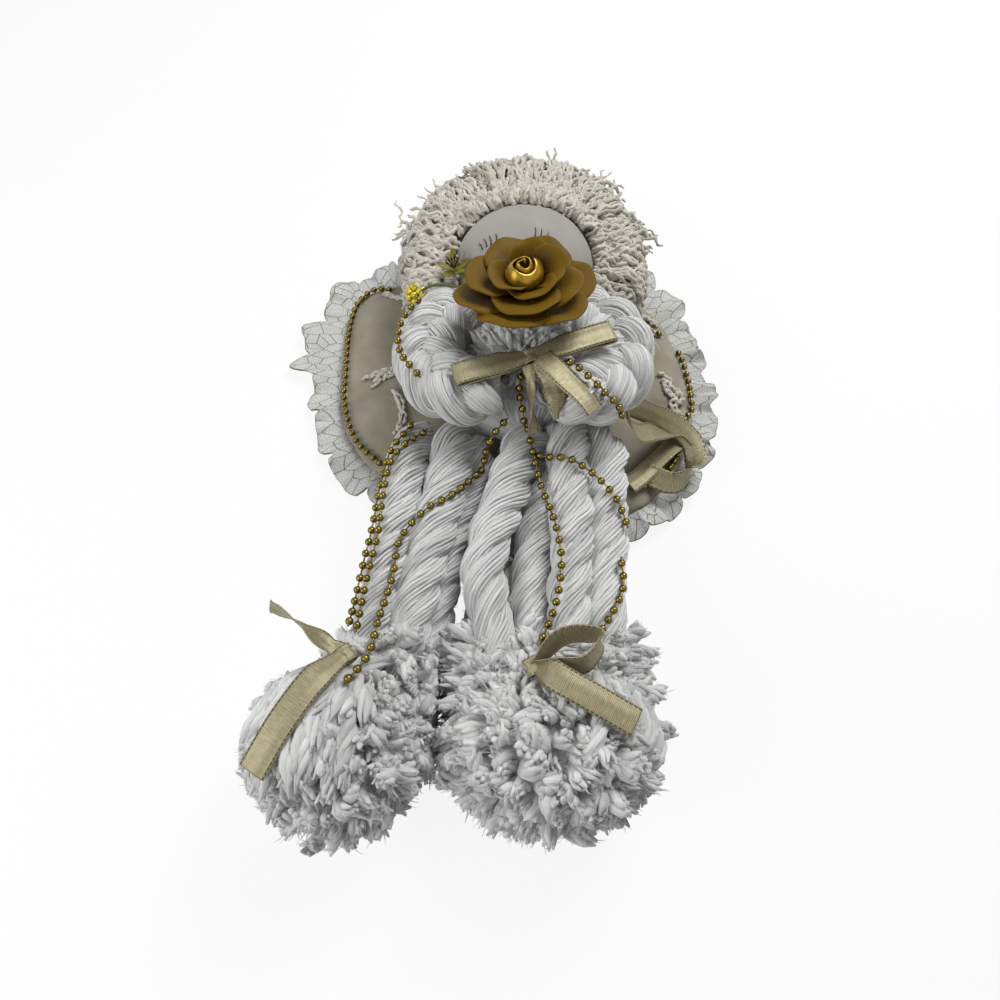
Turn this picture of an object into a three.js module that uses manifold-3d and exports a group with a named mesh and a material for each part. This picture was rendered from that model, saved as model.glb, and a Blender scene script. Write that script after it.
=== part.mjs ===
// A yarn doll with fabric wings, lying on its back.
// +Z is the front of the doll, +Y points to the head, and the doll's back rests on Z = 0.
// The origin is under the middle of the doll's box. Lengths are millimetres.
import * as THREE from "three";
import { mergeVertices } from "three/addons/utils/BufferGeometryUtils.js";
import Module from "manifold-3d";

const wasm = await Module();
wasm.setup();

// Driving dimensions
const fitGap = 0.35; // between pieces that touch
const runGap = 0.6; // between pieces that turn against each other
const middle = 9; // X of the doll's middle line

const head = { y: 83, rest: 2, radius: 33, depth: 29, cover: 0.9, gather: 9 };
const hair = { thick: 13, deep: 18, reach: 10, below: 6, peak: 15.5, spread: 0.62, locks: 9, lockBulge: 0.12 };
const torso = { y: 33, z: 27, halfWidth: 31, halfLength: 25, halfDepth: 18, prong: 7 };
const bib = { y: 30, z: 47, halfWidth: 21, halfLength: 21, halfDepth: 12, tuft: 0.05 };
const board = { thick: 2, bridge: 70, bridgeY: 10, bridgeHalf: 18 };
const pad = { rim: 3.2, crown: 3.4, crease: 1.6, creaseWidth: 7 };
const lace = { thick: 1.1, left: 12, right: 9.4, flare: 12.4, flareSpan: 17, wave: 3.8, folds: 8 };
const bead = { diameter: 3, pitch: 5, string: 0.9 };
const wingBead = { diameter: 2.6, pitch: 4.6, string: 0.9 };
const ribbon = { width: 9.5, thick: 0.6 };
const arm = { sway: 8.4, dip: 4.2, strand: 6.1, turns: 2.3, tip: 0.62 };
const hip = { y: -5, z: 24, knot: 10.5, leftX: -20, rightX: 29 };
const rope = { radius: 8, drawn: 8, ankleRadius: 6.3, lobe: 0.1, lay: 56 };
const ankle = { above: 2, cord: 1.8, knotWidth: 4.5, knotLength: 4, knotDepth: 2.4 };
const bow = { knot: 5, knotDepth: 2.8, rise: 2.6, fold: 1.4, pinch: 0.45 };
const pompom = { y: -123.5, depth: 31.5, length: 30.5, flat: 0.5, lump: 0.045, parting: 1 };
const leftPompom = { x: -57, halfWidth: 32 };
const rightPompom = { x: 17.5, halfWidth: 40 };
const rose = {
  x: 10, y: 46.5, tilt: -0.3, petal: 0.8, post: 3.2, postLow: -22, postHigh: 5.5, bud: 7, budHigh: 5.5,
};
const calyx = { radius: 9, depth: 4, below: 5.2 };
const filler = { x: -20, y: 72, reach: 6.5, petal: 0.8, heart: 2.4, stem: 0.9 };
const berry = { x: -36, y: 65, radius: 2.7, stem: 0.7 };

const colours = {
  muslin: 0xe6ded0,
  lace: 0xcfc9bd,
  hairYarn: 0xe9e2d4,
  cotton: 0xeceef2,
  goldBead: 0xb99a4a,
  ribbon: 0xb9a877,
  petal: 0x9a7414,
  stem: 0x3f4a26,
  berry: 0xb59a2c,
  foam: 0xf4f4f0,
};

function finish(name, roughness, metalness = 0) {
  return new THREE.MeshStandardMaterial({ color: colours[name], roughness, metalness });
}

const materials = {
  muslin: finish("muslin", 0.9),
  lace: finish("lace", 0.85),
  hair: finish("hairYarn", 0.95),
  cotton: finish("cotton", 0.9),
  bead: finish("goldBead", 0.2, 1),
  ribbon: finish("ribbon", 0.4, 0.6),
  petal: finish("petal", 0.5),
  stem: finish("stem", 0.7),
  berry: finish("berry", 0.35, 0.6),
  foam: finish("foam", 0.9),
};

const vec = (x, y, z = 0) => new THREE.Vector3(x, y, z);
const bell = (x, centre, span) => Math.exp(-(((x - centre) / span) ** 2));
const smooth = (x) => x * x * (3 - 2 * x);

// Solids: a closed geometry as a body that can be joined and cut, and back
function solid(geometry) {
  const bare = new THREE.BufferGeometry();
  bare.setAttribute("position", geometry.getAttribute("position").clone());
  if (geometry.index) bare.setIndex(geometry.index.clone());
  const merged = mergeVertices(bare, 1e-4);
  const triVerts = new Uint32Array(merged.index.array);
  const vertProperties = new Float32Array(merged.attributes.position.array);
  const made = new wasm.Manifold(new wasm.Mesh({ numProp: 3, vertProperties, triVerts }));
  if (made.volume() > 0) return made;
  for (let i = 0; i < triVerts.length; i += 3) {
    [triVerts[i + 1], triVerts[i + 2]] = [triVerts[i + 2], triVerts[i + 1]];
  }
  return new wasm.Manifold(new wasm.Mesh({ numProp: 3, vertProperties, triVerts }));
}

function geometryOf(body) {
  const mesh = body.getMesh();
  const geometry = new THREE.BufferGeometry();
  const points = new Float32Array(mesh.numVert * 3);
  for (let i = 0; i < mesh.numVert; i++) {
    points.set(mesh.vertProperties.subarray(i * mesh.numProp, i * mesh.numProp + 3), i * 3);
  }
  geometry.setAttribute("position", new THREE.BufferAttribute(points, 3));
  geometry.setIndex(new THREE.BufferAttribute(new Uint32Array(mesh.triVerts), 1));
  geometry.computeVertexNormals();
  return geometry;
}

function joined(bodies) {
  return bodies.reduce((all, body) => all.add(body));
}

function without(body, cutters) {
  return cutters.reduce((left, cutter) => left.subtract(cutter), body);
}

// The largest body that a cut left
function largest(body) {
  return body.decompose().reduce((a, b) => (a.volume() > b.volume() ? a : b));
}

// Rings of points joined into one closed surface, with a fan over each end
function loft(rings) {
  const sides = rings[0].length;
  const points = rings.flat();
  const faces = [];
  for (let i = 0; i + 1 < rings.length; i++) {
    for (let j = 0; j < sides; j++) {
      const a = i * sides + j;
      const b = i * sides + ((j + 1) % sides);
      faces.push(a, b, b + sides, a, b + sides, a + sides);
    }
  }
  for (const [start, turn] of [[0, -1], [(rings.length - 1) * sides, 1]]) {
    const centre = vec(0, 0, 0);
    for (let j = 0; j < sides; j++) centre.addScaledVector(points[start + j], 1 / sides);
    points.push(centre);
    for (let j = 0; j < sides; j++) {
      const pair = [start + j, start + ((j + 1) % sides)];
      if (turn < 0) pair.reverse();
      faces.push(...pair, points.length - 1);
    }
  }
  return new THREE.BufferGeometry().setFromPoints(points).setIndex(faces);
}

const through = (points) => new THREE.CatmullRomCurve3(points, false, "centripetal");

// A section carried along a curve. Its first axis stays as near to side as the curve lets it.
// With overrun, the sweep runs on straight past both ends.
function sweep(curve, steps, side, sectionAt, overrun = 0) {
  const rings = [];
  for (let i = 0; i <= steps; i++) {
    const t = i / steps;
    const along = curve.getTangentAt(t);
    const first = side.clone().addScaledVector(along, -side.dot(along)).normalize();
    const second = first.clone().cross(along);
    const centre = curve.getPointAt(t);
    const ring = sectionAt(t).map(([a, b]) =>
      centre.clone().addScaledVector(first, a).addScaledVector(second, b),
    );
    const past = ring.map((p) => p.clone().addScaledVector(along, i === 0 ? -overrun : overrun));
    if (overrun && i === 0) rings.push(past);
    rings.push(ring);
    if (overrun && i === steps) rings.push(past);
  }
  return loft(rings);
}

// A ring of points, with three lobes if lobe isn't 0
function ringSection(sides, radius, turn = 0, lobe = 0) {
  return Array.from({ length: sides }, (_, j) => {
    const angle = (2 * Math.PI * j) / sides;
    const r = radius * (1 + lobe * Math.cos(3 * angle));
    return [r * Math.cos(angle + turn), r * Math.sin(angle + turn)];
  });
}

// An egg shape whose radius may be bumped by a function of its two angles
function eggShape(centre, half, grow = 0, bump = () => 0, around = 14, up = 9) {
  const rings = [];
  const poleStep = 0.06;
  for (let i = 0; i <= up; i++) {
    const polar = Math.PI * Math.min(Math.max(i / up, poleStep / 2), 1 - poleStep / 2);
    rings.push(
      Array.from({ length: around }, (_, j) => {
        const turn = (2 * Math.PI * j) / around;
        const swell = 1 + bump(turn, polar);
        return vec(
          centre.x + (half.x + grow) * swell * Math.sin(polar) * Math.cos(turn),
          centre.y + (half.y + grow) * swell * Math.sin(polar) * Math.sin(turn),
          centre.z - (half.z + grow) * swell * Math.cos(polar),
        );
      }),
    );
  }
  return loft(rings);
}

const egg = (...shape) => solid(eggShape(...shape));

// Rings of points joined into one closed hoop
function hoop(rings) {
  const sides = rings[0].length;
  const faces = [];
  for (let i = 0; i < rings.length; i++) {
    const next = ((i + 1) % rings.length) * sides;
    for (let j = 0; j < sides; j++) {
      const a = i * sides + j;
      const b = i * sides + ((j + 1) % sides);
      faces.push(a, b, next + ((j + 1) % sides), a, next + ((j + 1) % sides), next + j);
    }
  }
  return new THREE.BufferGeometry().setFromPoints(rings.flat()).setIndex(faces);
}

function prism(outline, low, high) {
  const rings = [low, high].map((z) => outline.map((p) => vec(p.x, p.y, z)));
  return solid(loft(rings));
}

const doll = new THREE.Group();
doll.name = "yarn_doll";

function piece(name, material, made) {
  const geometry = made.isBufferGeometry ? made : geometryOf(largest(made));
  const mesh = new THREE.Mesh(geometry, materials[material]);
  mesh.name = name;
  doll.add(mesh);
  return mesh;
}

// Height of the highest of some pieces over a spot, felt over a small patch
const feeler = new THREE.Raycaster();
function heightOver(pieces, x, y, reach) {
  let top = 0;
  for (const dx of [-reach, 0, reach]) {
    for (const dy of [-reach, 0, reach]) {
      feeler.set(vec(x + dx, y + dy, 500), vec(0, 0, -1));
      for (const hit of feeler.intersectObjects(pieces)) top = Math.max(top, hit.point.z);
    }
  }
  return top;
}

// A route laid over pieces: it rests on the high spots and spans the hollows between them.
// A point of the route may hold a third number, which is the least height there.
function laidOver(route, pieces, clear, step = 2.5, reach = 0.6 * clear) {
  const plan = through(route.map(([x, y, z = 0]) => vec(x, y, z)));
  const count = Math.max(4, Math.round(plan.getLength() / step));
  const spots = plan.getSpacedPoints(count);
  const least = spots.map((p) => Math.max(p.z, heightOver(pieces, p.x, p.y, reach) + clear));
  let heights = [...least];
  const settle = 40;
  for (let n = 0; n < settle; n++) {
    heights = heights.map((z, i) =>
      i === 0 || i === count ? z : Math.max(least[i], (heights[i - 1] + heights[i + 1]) / 2 - 0.02),
    );
  }
  return through(spots.map((p, i) => vec(p.x, p.y, heights[i])));
}

// Beads moulded on a string: the radius along the string swells at each bead
function beadString(curve, kind) {
  const count = Math.max(2, Math.round(curve.getLength() / kind.pitch));
  const rings = [];
  const sides = 4;
  const length = curve.getLength();
  const half = kind.diameter / 2;
  const profile = [[-0.94, kind.string / 2], [0, half], [0.94, kind.string / 2]];
  for (let k = 0; k < count; k++) {
    for (const [share, radius] of profile) {
      const t = ((k + 0.5) * (length / count) + share * half) / length;
      const along = curve.getTangentAt(t);
      const reference = Math.abs(along.z) > 0.8 ? vec(1, 0, 0) : vec(0, 0, 1);
      const first = reference.addScaledVector(along, -reference.dot(along)).normalize();
      const second = first.clone().cross(along);
      const centre = curve.getPointAt(t);
      rings.push(
        ringSection(sides, radius).map(([a, b]) =>
          centre.clone().addScaledVector(first, a).addScaledVector(second, b),
        ),
      );
    }
  }
  return geometryOf(solid(loft(rings)));
}

function ribbonStrip(curve, side, steps, taper = () => 1, grow = 0) {
  const half = ribbon.thick / 2 + grow;
  return sweep(curve, steps, side, (t) => {
    const wide = (ribbon.width / 2) * taper(t) + grow;
    return [[-wide, -half], [wide, -half], [wide, half], [-wide, half]];
  });
}

// Wings: a stiff board, two stuffed pads, and gathered lace round their outer edges
const leftEdge = [
  [4, 97], [-26, 107], [-56, 107], [-73, 99], [-78, 82], [-78, 55], [-77, 33], [-70, 13], [-55, -3],
  [-26, -7], [4, -2], [5, 30], [5, 65],
];
const rightEdge = [
  [14, -5], [36, -22], [58, -23], [76, -9], [89, 12], [93, 32], [92, 52], [87, 73], [77, 92], [58, 104],
  [36, 106], [14, 97], [13, 65], [13, 30],
];
const outlineSteps = 36;

function outlineOf(edge) {
  const curve = new THREE.CatmullRomCurve3(edge.map(([x, y]) => vec(x, y)), true, "centripetal");
  return { curve, points: curve.getSpacedPoints(outlineSteps).slice(0, -1) };
}

const leftOutline = outlineOf(leftEdge);
const rightOutline = outlineOf(rightEdge);

function moved(outline, share) {
  const centre = vec(0, 0);
  outline.forEach((p) => centre.addScaledVector(p, 1 / outline.length));
  return outline.map((p) => centre.clone().lerp(p, share));
}

function widened(outline, by) {
  const centre = vec(0, 0);
  outline.forEach((p) => centre.addScaledVector(p, 1 / outline.length));
  return outline.map((p) => p.clone().addScaledVector(p.clone().sub(centre).normalize(), by));
}

// A pad is flat below and crowned above, with one crease sewn across it at creaseY
function wingPad(outline, creaseY, grow = 0) {
  const floor = board.thick + fitGap - grow;
  const creaseAt = (p) => pad.crease * bell(p.y, creaseY, pad.creaseWidth);
  const shares = [1, 0.975, 0.85, 0.6, 0.25];
  const edge = widened(outline, grow);
  const rings = [edge.map((p) => vec(p.x, p.y, floor))];
  for (const share of shares) {
    const rise = Math.sqrt(1 - share * share);
    const skirt = share === 1 ? 0.6 * pad.rim : pad.rim;
    rings.push(
      moved(edge, share).map((p) =>
        vec(p.x, p.y, floor + skirt + 2 * grow + (pad.crown - creaseAt(p)) * rise),
      ),
    );
  }
  return solid(loft(rings));
}

const creases = { left: 49, right: 22 };
const bridge = [[-1, 0], [1, 0], [1, 1], [-1, 1]].map(([across, up]) =>
  vec(middle + across * board.bridgeHalf, board.bridgeY + up * board.bridge),
);
const boardSolid = joined([
  prism(leftOutline.points, 0, board.thick),
  prism(rightOutline.points, 0, board.thick),
  prism(bridge, 0, board.thick),
]);
piece("wing_board", "muslin", boardSolid);
const leftPad = piece("left_wing_pad", "muslin", wingPad(leftOutline.points, creases.left));
const rightPad = piece("right_wing_pad", "muslin", wingPad(rightOutline.points, creases.right));
const padRoom = [
  wingPad(leftOutline.points, creases.left, fitGap),
  wingPad(rightOutline.points, creases.right, fitGap),
];

// Share of an outline's length at the place nearest to a spot
function shareNear(outline, x, y) {
  const tries = 400;
  const far = (i) => outline.curve.getPointAt(i / tries).distanceTo(vec(x, y));
  let best = 0;
  for (let i = 1; i < tries; i++) if (far(i) < far(best)) best = i;
  return best / tries;
}

// Lace along an outline between two spots, standing in folds that grow to the outer edge
function wingLace(outline, start, end, width, flareY, flare) {
  const [from, to] = [shareNear(outline, ...start), shareNear(outline, ...end)];
  const steps = lace.folds * 5;
  const rings = [];
  for (let i = 0; i <= steps; i++) {
    const u = from + ((to - from) * i) / steps;
    const at = outline.curve.getPointAt(u);
    const along = outline.curve.getTangentAt(u);
    const out = vec(along.y, -along.x);
    if (out.dot(at.clone().sub(vec(middle, 50))) < 0) out.negate();
    const phase = (2 * Math.PI * lace.folds * i) / steps;
    const wide = (width + flare * bell(at.y, flareY, lace.flareSpan)) * (1 + 0.07 * Math.cos(2 * phase));
    const top = [
      [2 * fitGap, 1],
      [wide * 0.55, 2.2 + 0.5 * lace.wave * (1 + Math.sin(phase))],
      [wide, 1.8 + lace.wave * (1 + Math.sin(phase))],
    ];
    const ring = top.map(([far, z]) => at.clone().addScaledVector(out, far).setZ(z + lace.thick));
    for (const [far, z] of top.reverse()) ring.push(at.clone().addScaledVector(out, far).setZ(z));
    rings.push(ring);
  }
  return solid(loft(rings));
}

const leftLace = wingLace(leftOutline, [-28, 107], [-36, -6], lace.left, 66, lace.flare);
piece("left_wing_lace", "lace", leftLace);
const rightLace = wingLace(rightOutline, [34, -20], [46, 106], lace.right, 104, 0.8 * lace.flare);
piece("right_wing_lace", "lace", rightLace);

const wingBeadClear = wingBead.diameter / 2 + fitGap;
const wingStrings = {
  left_wing_beads: [
    leftPad,
    [[-54, 101], [-64, 102], [-71, 95], [-74, 83], [-74, 56], [-73, 34], [-66, 14], [-53, 1]],
  ],
  right_wing_beads_top: [rightPad, [[58, 74], [68, 76], [79, 71]]],
  right_wing_beads_side: [rightPad, [[86, 64], [89, 52], [90, 38], [89, 29], [84, 25], [70, 26]]],
  right_wing_beads_low: [rightPad, [[84, 15], [79, 3], [71, -6], [62, -11]]],
};
for (const [name, [under, route]] of Object.entries(wingStrings)) {
  piece(name, "bead", beadString(laidOver(route, [under], wingBeadClear), wingBead));
}

// Head: a foam core in a muslin cover that is gathered round a hole at the back
const padTop = board.thick + fitGap + pad.rim + pad.crown;
const headCentre = vec(middle + 2, head.y, padTop + head.rest + head.depth);
const headHalf = vec(head.radius, head.radius, head.depth);

const headSides = 18;

function headCover() {
  const hole = Math.asin(head.gather / head.radius);
  const arcSteps = 8;
  const outer = [];
  const inner = [];
  for (let i = 0; i <= arcSteps; i++) {
    const polar = Math.PI - ((Math.PI - hole) * i) / arcSteps;
    const at = new THREE.Vector2(head.radius * Math.sin(polar), -head.depth * Math.cos(polar));
    outer.push(at);
    inner.push(at.clone().multiplyScalar(1 - head.cover / head.radius));
  }
  outer[0].x = 0;
  inner[0].x = 0;
  const geometry = new THREE.LatheGeometry([...outer, ...inner.reverse()], headSides);
  return solid(geometry.rotateX(Math.PI / 2).translate(...headCentre.toArray()));
}

const coverMesh = piece("head_cover", "muslin", headCover());
piece("head_core", "foam", egg(headCentre, headHalf, -head.cover - 4 * fitGap, undefined, headSides, 10));
const headRoom = egg(headCentre, headHalf, 2.4 * fitGap, undefined, 20, 12);

// Body: the folded bundle of yarn that everything is tied to, with a prong down to each hip
const torsoCentre = vec(middle, torso.y, torso.z);
const torsoHalf = vec(torso.halfWidth, torso.halfLength, torso.halfDepth);
const hips = { left: vec(hip.leftX, hip.y, hip.z), right: vec(hip.rightX, hip.y, hip.z) };

function torsoBody(grow) {
  const trunk = egg(torsoCentre, torsoHalf, grow);
  const prongs = Object.values(hips).map((at) => {
    const route = through([at, at.clone().lerp(torsoCentre, 0.4), torsoCentre]);
    return solid(sweep(route, 6, vec(1, 0, 0), () => ringSection(10, torso.prong + grow)));
  });
  return joined([trunk, ...prongs]);
}

const knotRoom = Object.values(hips).map((at) => egg(at, vec(hip.knot, hip.knot, hip.knot), runGap));
const trunkCut = without(torsoBody(0), [headRoom, ...padRoom, ...knotRoom]);
piece("torso_bundle", "cotton", trunkCut);
const torsoRoom = torsoBody(fitGap);

// Arms: a three-strand plait from the neck round to the front, narrowing at both ends
const armRoutes = {
  left: [[-3, 57, 45], [-20, 53, 48], [-29, 39, 50], [-28, 22, 52], [-17, 11, 55], [-1, 9, 57]],
  right: [[25, 57, 45], [41, 51, 48], [49, 37, 50], [47, 20, 52], [36, 10, 55], [21, 8, 57]],
};

function plait(points, grow) {
  const route = through(points.map((p) => vec(...p)));
  const strandSteps = 14;
  const strands = [0, 1, 2].map((strand) => {
    const own = [];
    for (let i = 0; i <= strandSteps; i++) {
      const t = i / strandSteps;
      const along = route.getTangentAt(t);
      const across = vec(along.y, -along.x).normalize();
      const turn = 2 * Math.PI * (arm.turns * t + strand / 3);
      const narrow = arm.tip + (1 - arm.tip) * Math.sin(Math.PI * t) ** 0.5;
      own.push(
        route.getPointAt(t)
          .addScaledVector(across, arm.sway * narrow * Math.sin(turn))
          .add(vec(0, 0, arm.dip * narrow * Math.sin(2 * turn))),
      );
    }
    const tip = 0.55;
    const section = (t) =>
      ringSection(5, arm.strand * (tip + (1 - tip) * Math.min(1, 9 * t, 9 * (1 - t))) + grow);
    return solid(sweep(through(own), strandSteps, vec(0, 0, 1), section, grow));
  });
  return joined(strands);
}

const armRoom = Object.values(armRoutes).map((points) => plait(points, 1.3 * fitGap));
const armMeshes = Object.entries(armRoutes).map(([side, points]) =>
  piece(`${side}_arm_plait`, "cotton", without(plait(points, 0), [headRoom, torsoRoom])),
);

// Bib: cut yarn ends that fill the space between the arms, under the rose
const bibBump = (turn, polar) => bib.tuft * Math.sin(6 * turn) * Math.sin(5 * polar);
const bibCentre = vec(middle + 1, bib.y, bib.z);
const bibHalf = vec(bib.halfWidth, bib.halfLength, bib.halfDepth);
const bibOver = [headRoom, torsoRoom, ...armRoom, ...knotRoom];
const bibMesh = piece("bib_yarn", "cotton", without(egg(bibCentre, bibHalf, 0, bibBump), bibOver));

// Hair: an arch of looped yarn round the head, swelling into locks
function hairArch() {
  const spread = hair.spread * Math.PI;
  const route = [];
  const archPoints = 12;
  const turnAt = (t) => Math.PI / 2 + spread * (1 - 2 * t);
  const peakAt = (t) => (hair.peak / 2) * Math.max(0, Math.sin(turnAt(t))) ** 2;
  for (let i = 0; i <= archPoints; i++) {
    const t = i / archPoints;
    const far = head.radius + hair.reach + peakAt(t);
    const out = vec(far * Math.cos(turnAt(t)), far * Math.sin(turnAt(t)), -hair.below);
    route.push(headCentre.clone().add(out));
  }
  const taper = 0.6;
  const section = (t) => {
    const end = taper + (1 - taper) * Math.min(1, 5 * t, 5 * (1 - t));
    const lock = end * (1 + hair.lockBulge * Math.sin(2 * Math.PI * hair.locks * t));
    return ringSection(8, 1).map(([a, b]) => [a * hair.deep * lock, b * (hair.thick + peakAt(t)) * lock]);
  };
  return solid(sweep(through(route), hair.locks * 2 + 4, vec(0, 0, 1), section));
}

const hairMesh = piece("hair", "hair", without(hairArch(), [headRoom, ...padRoom, ...armRoom, torsoRoom]));

// Legs: ropes tied at the hip knots, each laid as a twisted rope, gathered by a cord at the ankle
// The routes are centre lines of ropes of the drawn radius; a thicker rope rises, to keep its underside in place
const ropeRoutes = {
  left: {
    outer: [[-38, -7, 31], [-42, -45, 33], [-47, -75, 33], [-50, -104, 33]],
    inner: [[-20, -7, 32], [-27, -45, 34], [-33, -75, 35], [-37, -104, 34]],
    under: [[-30, -8, 18], [-36, -45, 19], [-41, -75, 21], [-44, -104, 22]],
    low: [[-10.5, -8, 24], [-20, -45, 22], [-26, -75, 22], [-31, -104, 22]],
  },
  right: {
    front: [[9, -7, 33], [-3, -42, 36], [-6, -62, 36], [-2, -84, 34], [3, -104, 33]],
    middle: [[22, -8, 24], [14, -45, 26], [12, -75, 26], [16, -104, 27]],
    inner: [[28, -7, 36], [28, -45, 36], [26, -75, 36], [25, -104, 34]],
    outer: [[44, -7, 31], [42, -45, 32], [40, -75, 33], [39, -104, 32]],
    under: [[40, -8, 16], [33, -45, 18], [30, -75, 20], [31, -104, 20]],
  },
};

function ropeBody(points, grow) {
  const rise = rope.radius - rope.drawn;
  const route = through(points.map(([x, y, z]) => vec(x, y, z + rise)));
  const turns = (2 * Math.PI * route.getLength()) / rope.lay;
  const steps = 13;
  const section = (t) => {
    const radius = THREE.MathUtils.lerp(rope.radius, rope.ankleRadius, smooth(t)) + grow;
    return ringSection(6, radius, turns * t, rope.lobe);
  };
  return solid(sweep(route, steps, vec(1, 0, 0), section, grow));
}

function pompomBody(at, grow) {
  const centre = vec(at.x, pompom.y, pompom.depth - pompom.flat);
  const bump = (turn, polar) =>
    pompom.lump * (Math.sin(7 * turn + 3 * polar) * Math.sin(6 * polar) + 0.4 * Math.sin(11 * turn));
  const half = vec(at.halfWidth, pompom.length, pompom.depth);
  return egg(centre, half, grow, bump, 16, 10);
}

const span = 400;
const between = (x0, x1, high) =>
  prism([vec(x0, -span), vec(x1, -span), vec(x1, span), vec(x0, span)], -span, high);
const belowFloor = between(-span, span, 0);
const partingX = (leftPompom.x + leftPompom.halfWidth + rightPompom.x - rightPompom.halfWidth) / 2;
const partingCut = {
  left: between(partingX - pompom.parting, span, span),
  right: between(-span, partingX + pompom.parting, span),
};
const feet = { left: leftPompom, right: rightPompom };
const legMeshes = { left: [], right: [] };
const legRoom = { left: [], right: [] };

for (const side of ["left", "right"]) {
  const knot = egg(hips[side], vec(hip.knot, hip.knot, hip.knot), 0, undefined, 12, 8);
  piece(`${side}_hip_knot`, "cotton", knot);
  const footRoom = pompomBody(feet[side], fitGap);
  for (const [name, points] of Object.entries(ropeRoutes[side])) {
    const cut = without(ropeBody(points, 0), [footRoom, ...knotRoom, ...legRoom.left, ...legRoom.right]);
    legMeshes[side].push(piece(`${side}_leg_${name}_rope`, "cotton", cut));
    legRoom[side].push(ropeBody(points, 2.4 * fitGap));
  }
  const foot = without(pompomBody(feet[side], 0), [belowFloor, partingCut[side]]);
  legMeshes[side].push(piece(`${side}_pompom`, "cotton", foot));
}

// Ankle cords: a wrap of yarn drawn tight round the ropes of each leg
const ankleWraps = {
  left: { x: -41.5, halfWidth: 17.5, halfDepth: 15.5, z: 28 },
  right: { x: 20, halfWidth: 28, halfDepth: 17, z: 28.5 },
};
const ankleY = pompom.y + pompom.length + ankle.above;
for (const [side, wrap] of Object.entries(ankleWraps)) {
  const wrapSteps = 16;
  const rings = [];
  for (let i = 0; i < wrapSteps; i++) {
    const turn = (2 * Math.PI * i) / wrapSteps;
    const out = vec(Math.cos(turn), 0, Math.sin(turn));
    const centre = vec(wrap.x + wrap.halfWidth * out.x, ankleY, wrap.z + wrap.halfDepth * out.z);
    rings.push(
      ringSection(5, ankle.cord).map(([a, b]) => centre.clone().addScaledVector(out, a).add(vec(0, b, 0))),
    );
  }
  const ring = solid(hoop(rings));
  const room = [...legRoom[side], pompomBody(feet[side], fitGap)];
  legMeshes[side].push(piece(`${side}_ankle_cord`, "cotton", without(ring, room)));
}

// Bead strings that hang over the arms and the legs
const beadClear = bead.diameter / 2 + fitGap;
const strings = {
  left_arm_beads: [armMeshes, [[-33, 53, 46], [-40, 41, 46], [-41, 29, 47], [-38, 20, 50], [-31, 11, 54]]],
  chest_beads_right: [[...armMeshes, bibMesh], [[20, 19], [27, 15], [34, 8], [42, 2, 58], [49, -1, 50]]],
  chest_beads_middle: [[...armMeshes, bibMesh], [[9, 18], [8, 12], [8, 7, 56], [9, 2, 55], [10, -3, 52]]],
  left_leg_beads_outer: [
    legMeshes.left,
    [[-44, -12, 34], [-48, -24, 34], [-50, -44, 34], [-53, -66, 34], [-54, -82, 34]],
  ],
  left_leg_beads_inner: [
    legMeshes.left,
    [[-36, -7], [-43, -14], [-46, -26], [-47, -46], [-50, -66], [-50, -84]],
  ],
  left_leg_beads_cross: [
    legMeshes.left,
    [[-10, -14], [-19, -29], [-29, -36], [-38, -48], [-40, -62], [-43, -80], [-45, -96], [-51, -107]],
  ],
  right_leg_beads_middle: [
    legMeshes.right,
    [[13, -9], [16, -24], [21, -42], [23, -58], [20, -76], [15, -88]],
  ],
  right_leg_beads_cross: [legMeshes.right, [[21, -14], [30, -17], [38, -22], [45, -30], [50, -42]]],
  right_leg_beads_outer: [legMeshes.right, [[46, -57], [46, -67], [42, -76], [36, -86]]],
};
const stringMeshes = {};
for (const [name, [under, route]] of Object.entries(strings)) {
  stringMeshes[name] = piece(name, "bead", beadString(laidOver(route, under, beadClear, 1.6), bead));
}

// Chest bow: a knot with a flat loop to each side
const chest = [...armMeshes, bibMesh, stringMeshes.chest_beads_right, stringMeshes.chest_beads_middle];
const knotAt = vec(middle + 3, 18, 0);
const loopEnds = [vec(-17, 9), vec(43, 29)];
const loopShares = Array.from({ length: 12 }, (_, i) => (i + 1) / 12);
const underBow = loopEnds.flatMap((end) => loopShares.map((share) => knotAt.clone().lerp(end, share)));
const loopsRest = Math.max(...underBow.map((p) => heightOver(chest, p.x, p.y, ribbon.width / 2)));
const knotRest = heightOver(chest, knotAt.x, knotAt.y, bow.knot / 2);
const loopLow = (bow.fold + ribbon.thick) / 2 + fitGap;
knotAt.z = Math.max(knotRest + bow.knotDepth, loopsRest + loopLow) + fitGap;

function bowLoop(end, grow) {
  const way = end.clone().sub(knotAt).setZ(0).normalize();
  const side = vec(-way.y, way.x);
  const high = end.clone().setZ(knotAt.z + bow.fold / 2);
  const mid = knotAt.clone().lerp(high, 0.5);
  const points = [
    knotAt.clone().add(vec(0, 0, 1)),
    mid.clone().add(vec(0, 0, bow.rise)),
    high.clone().add(vec(0, 0, bow.fold)),
    high.clone().addScaledVector(way, bow.fold),
    high.clone().add(vec(0, 0, -bow.fold)),
    mid.clone().add(vec(0, 0, -bow.fold / 2)),
    knotAt.clone().add(vec(0, 0, -1)),
  ];
  const pinch = (t) => bow.pinch + (1 - bow.pinch) * Math.min(1, 5 * t, 5 * (1 - t));
  return solid(ribbonStrip(through(points), side, 10, pinch, grow));
}

function bowBody(grow) {
  const knot = egg(knotAt, vec(bow.knot, bow.knot, bow.knotDepth), grow, undefined, 8, 5);
  return joined([knot, ...loopEnds.map((end) => bowLoop(end, grow))]);
}

piece("chest_bow", "ribbon", bowBody(0));
const bowRoom = bowBody(1.5 * fitGap);

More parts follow.
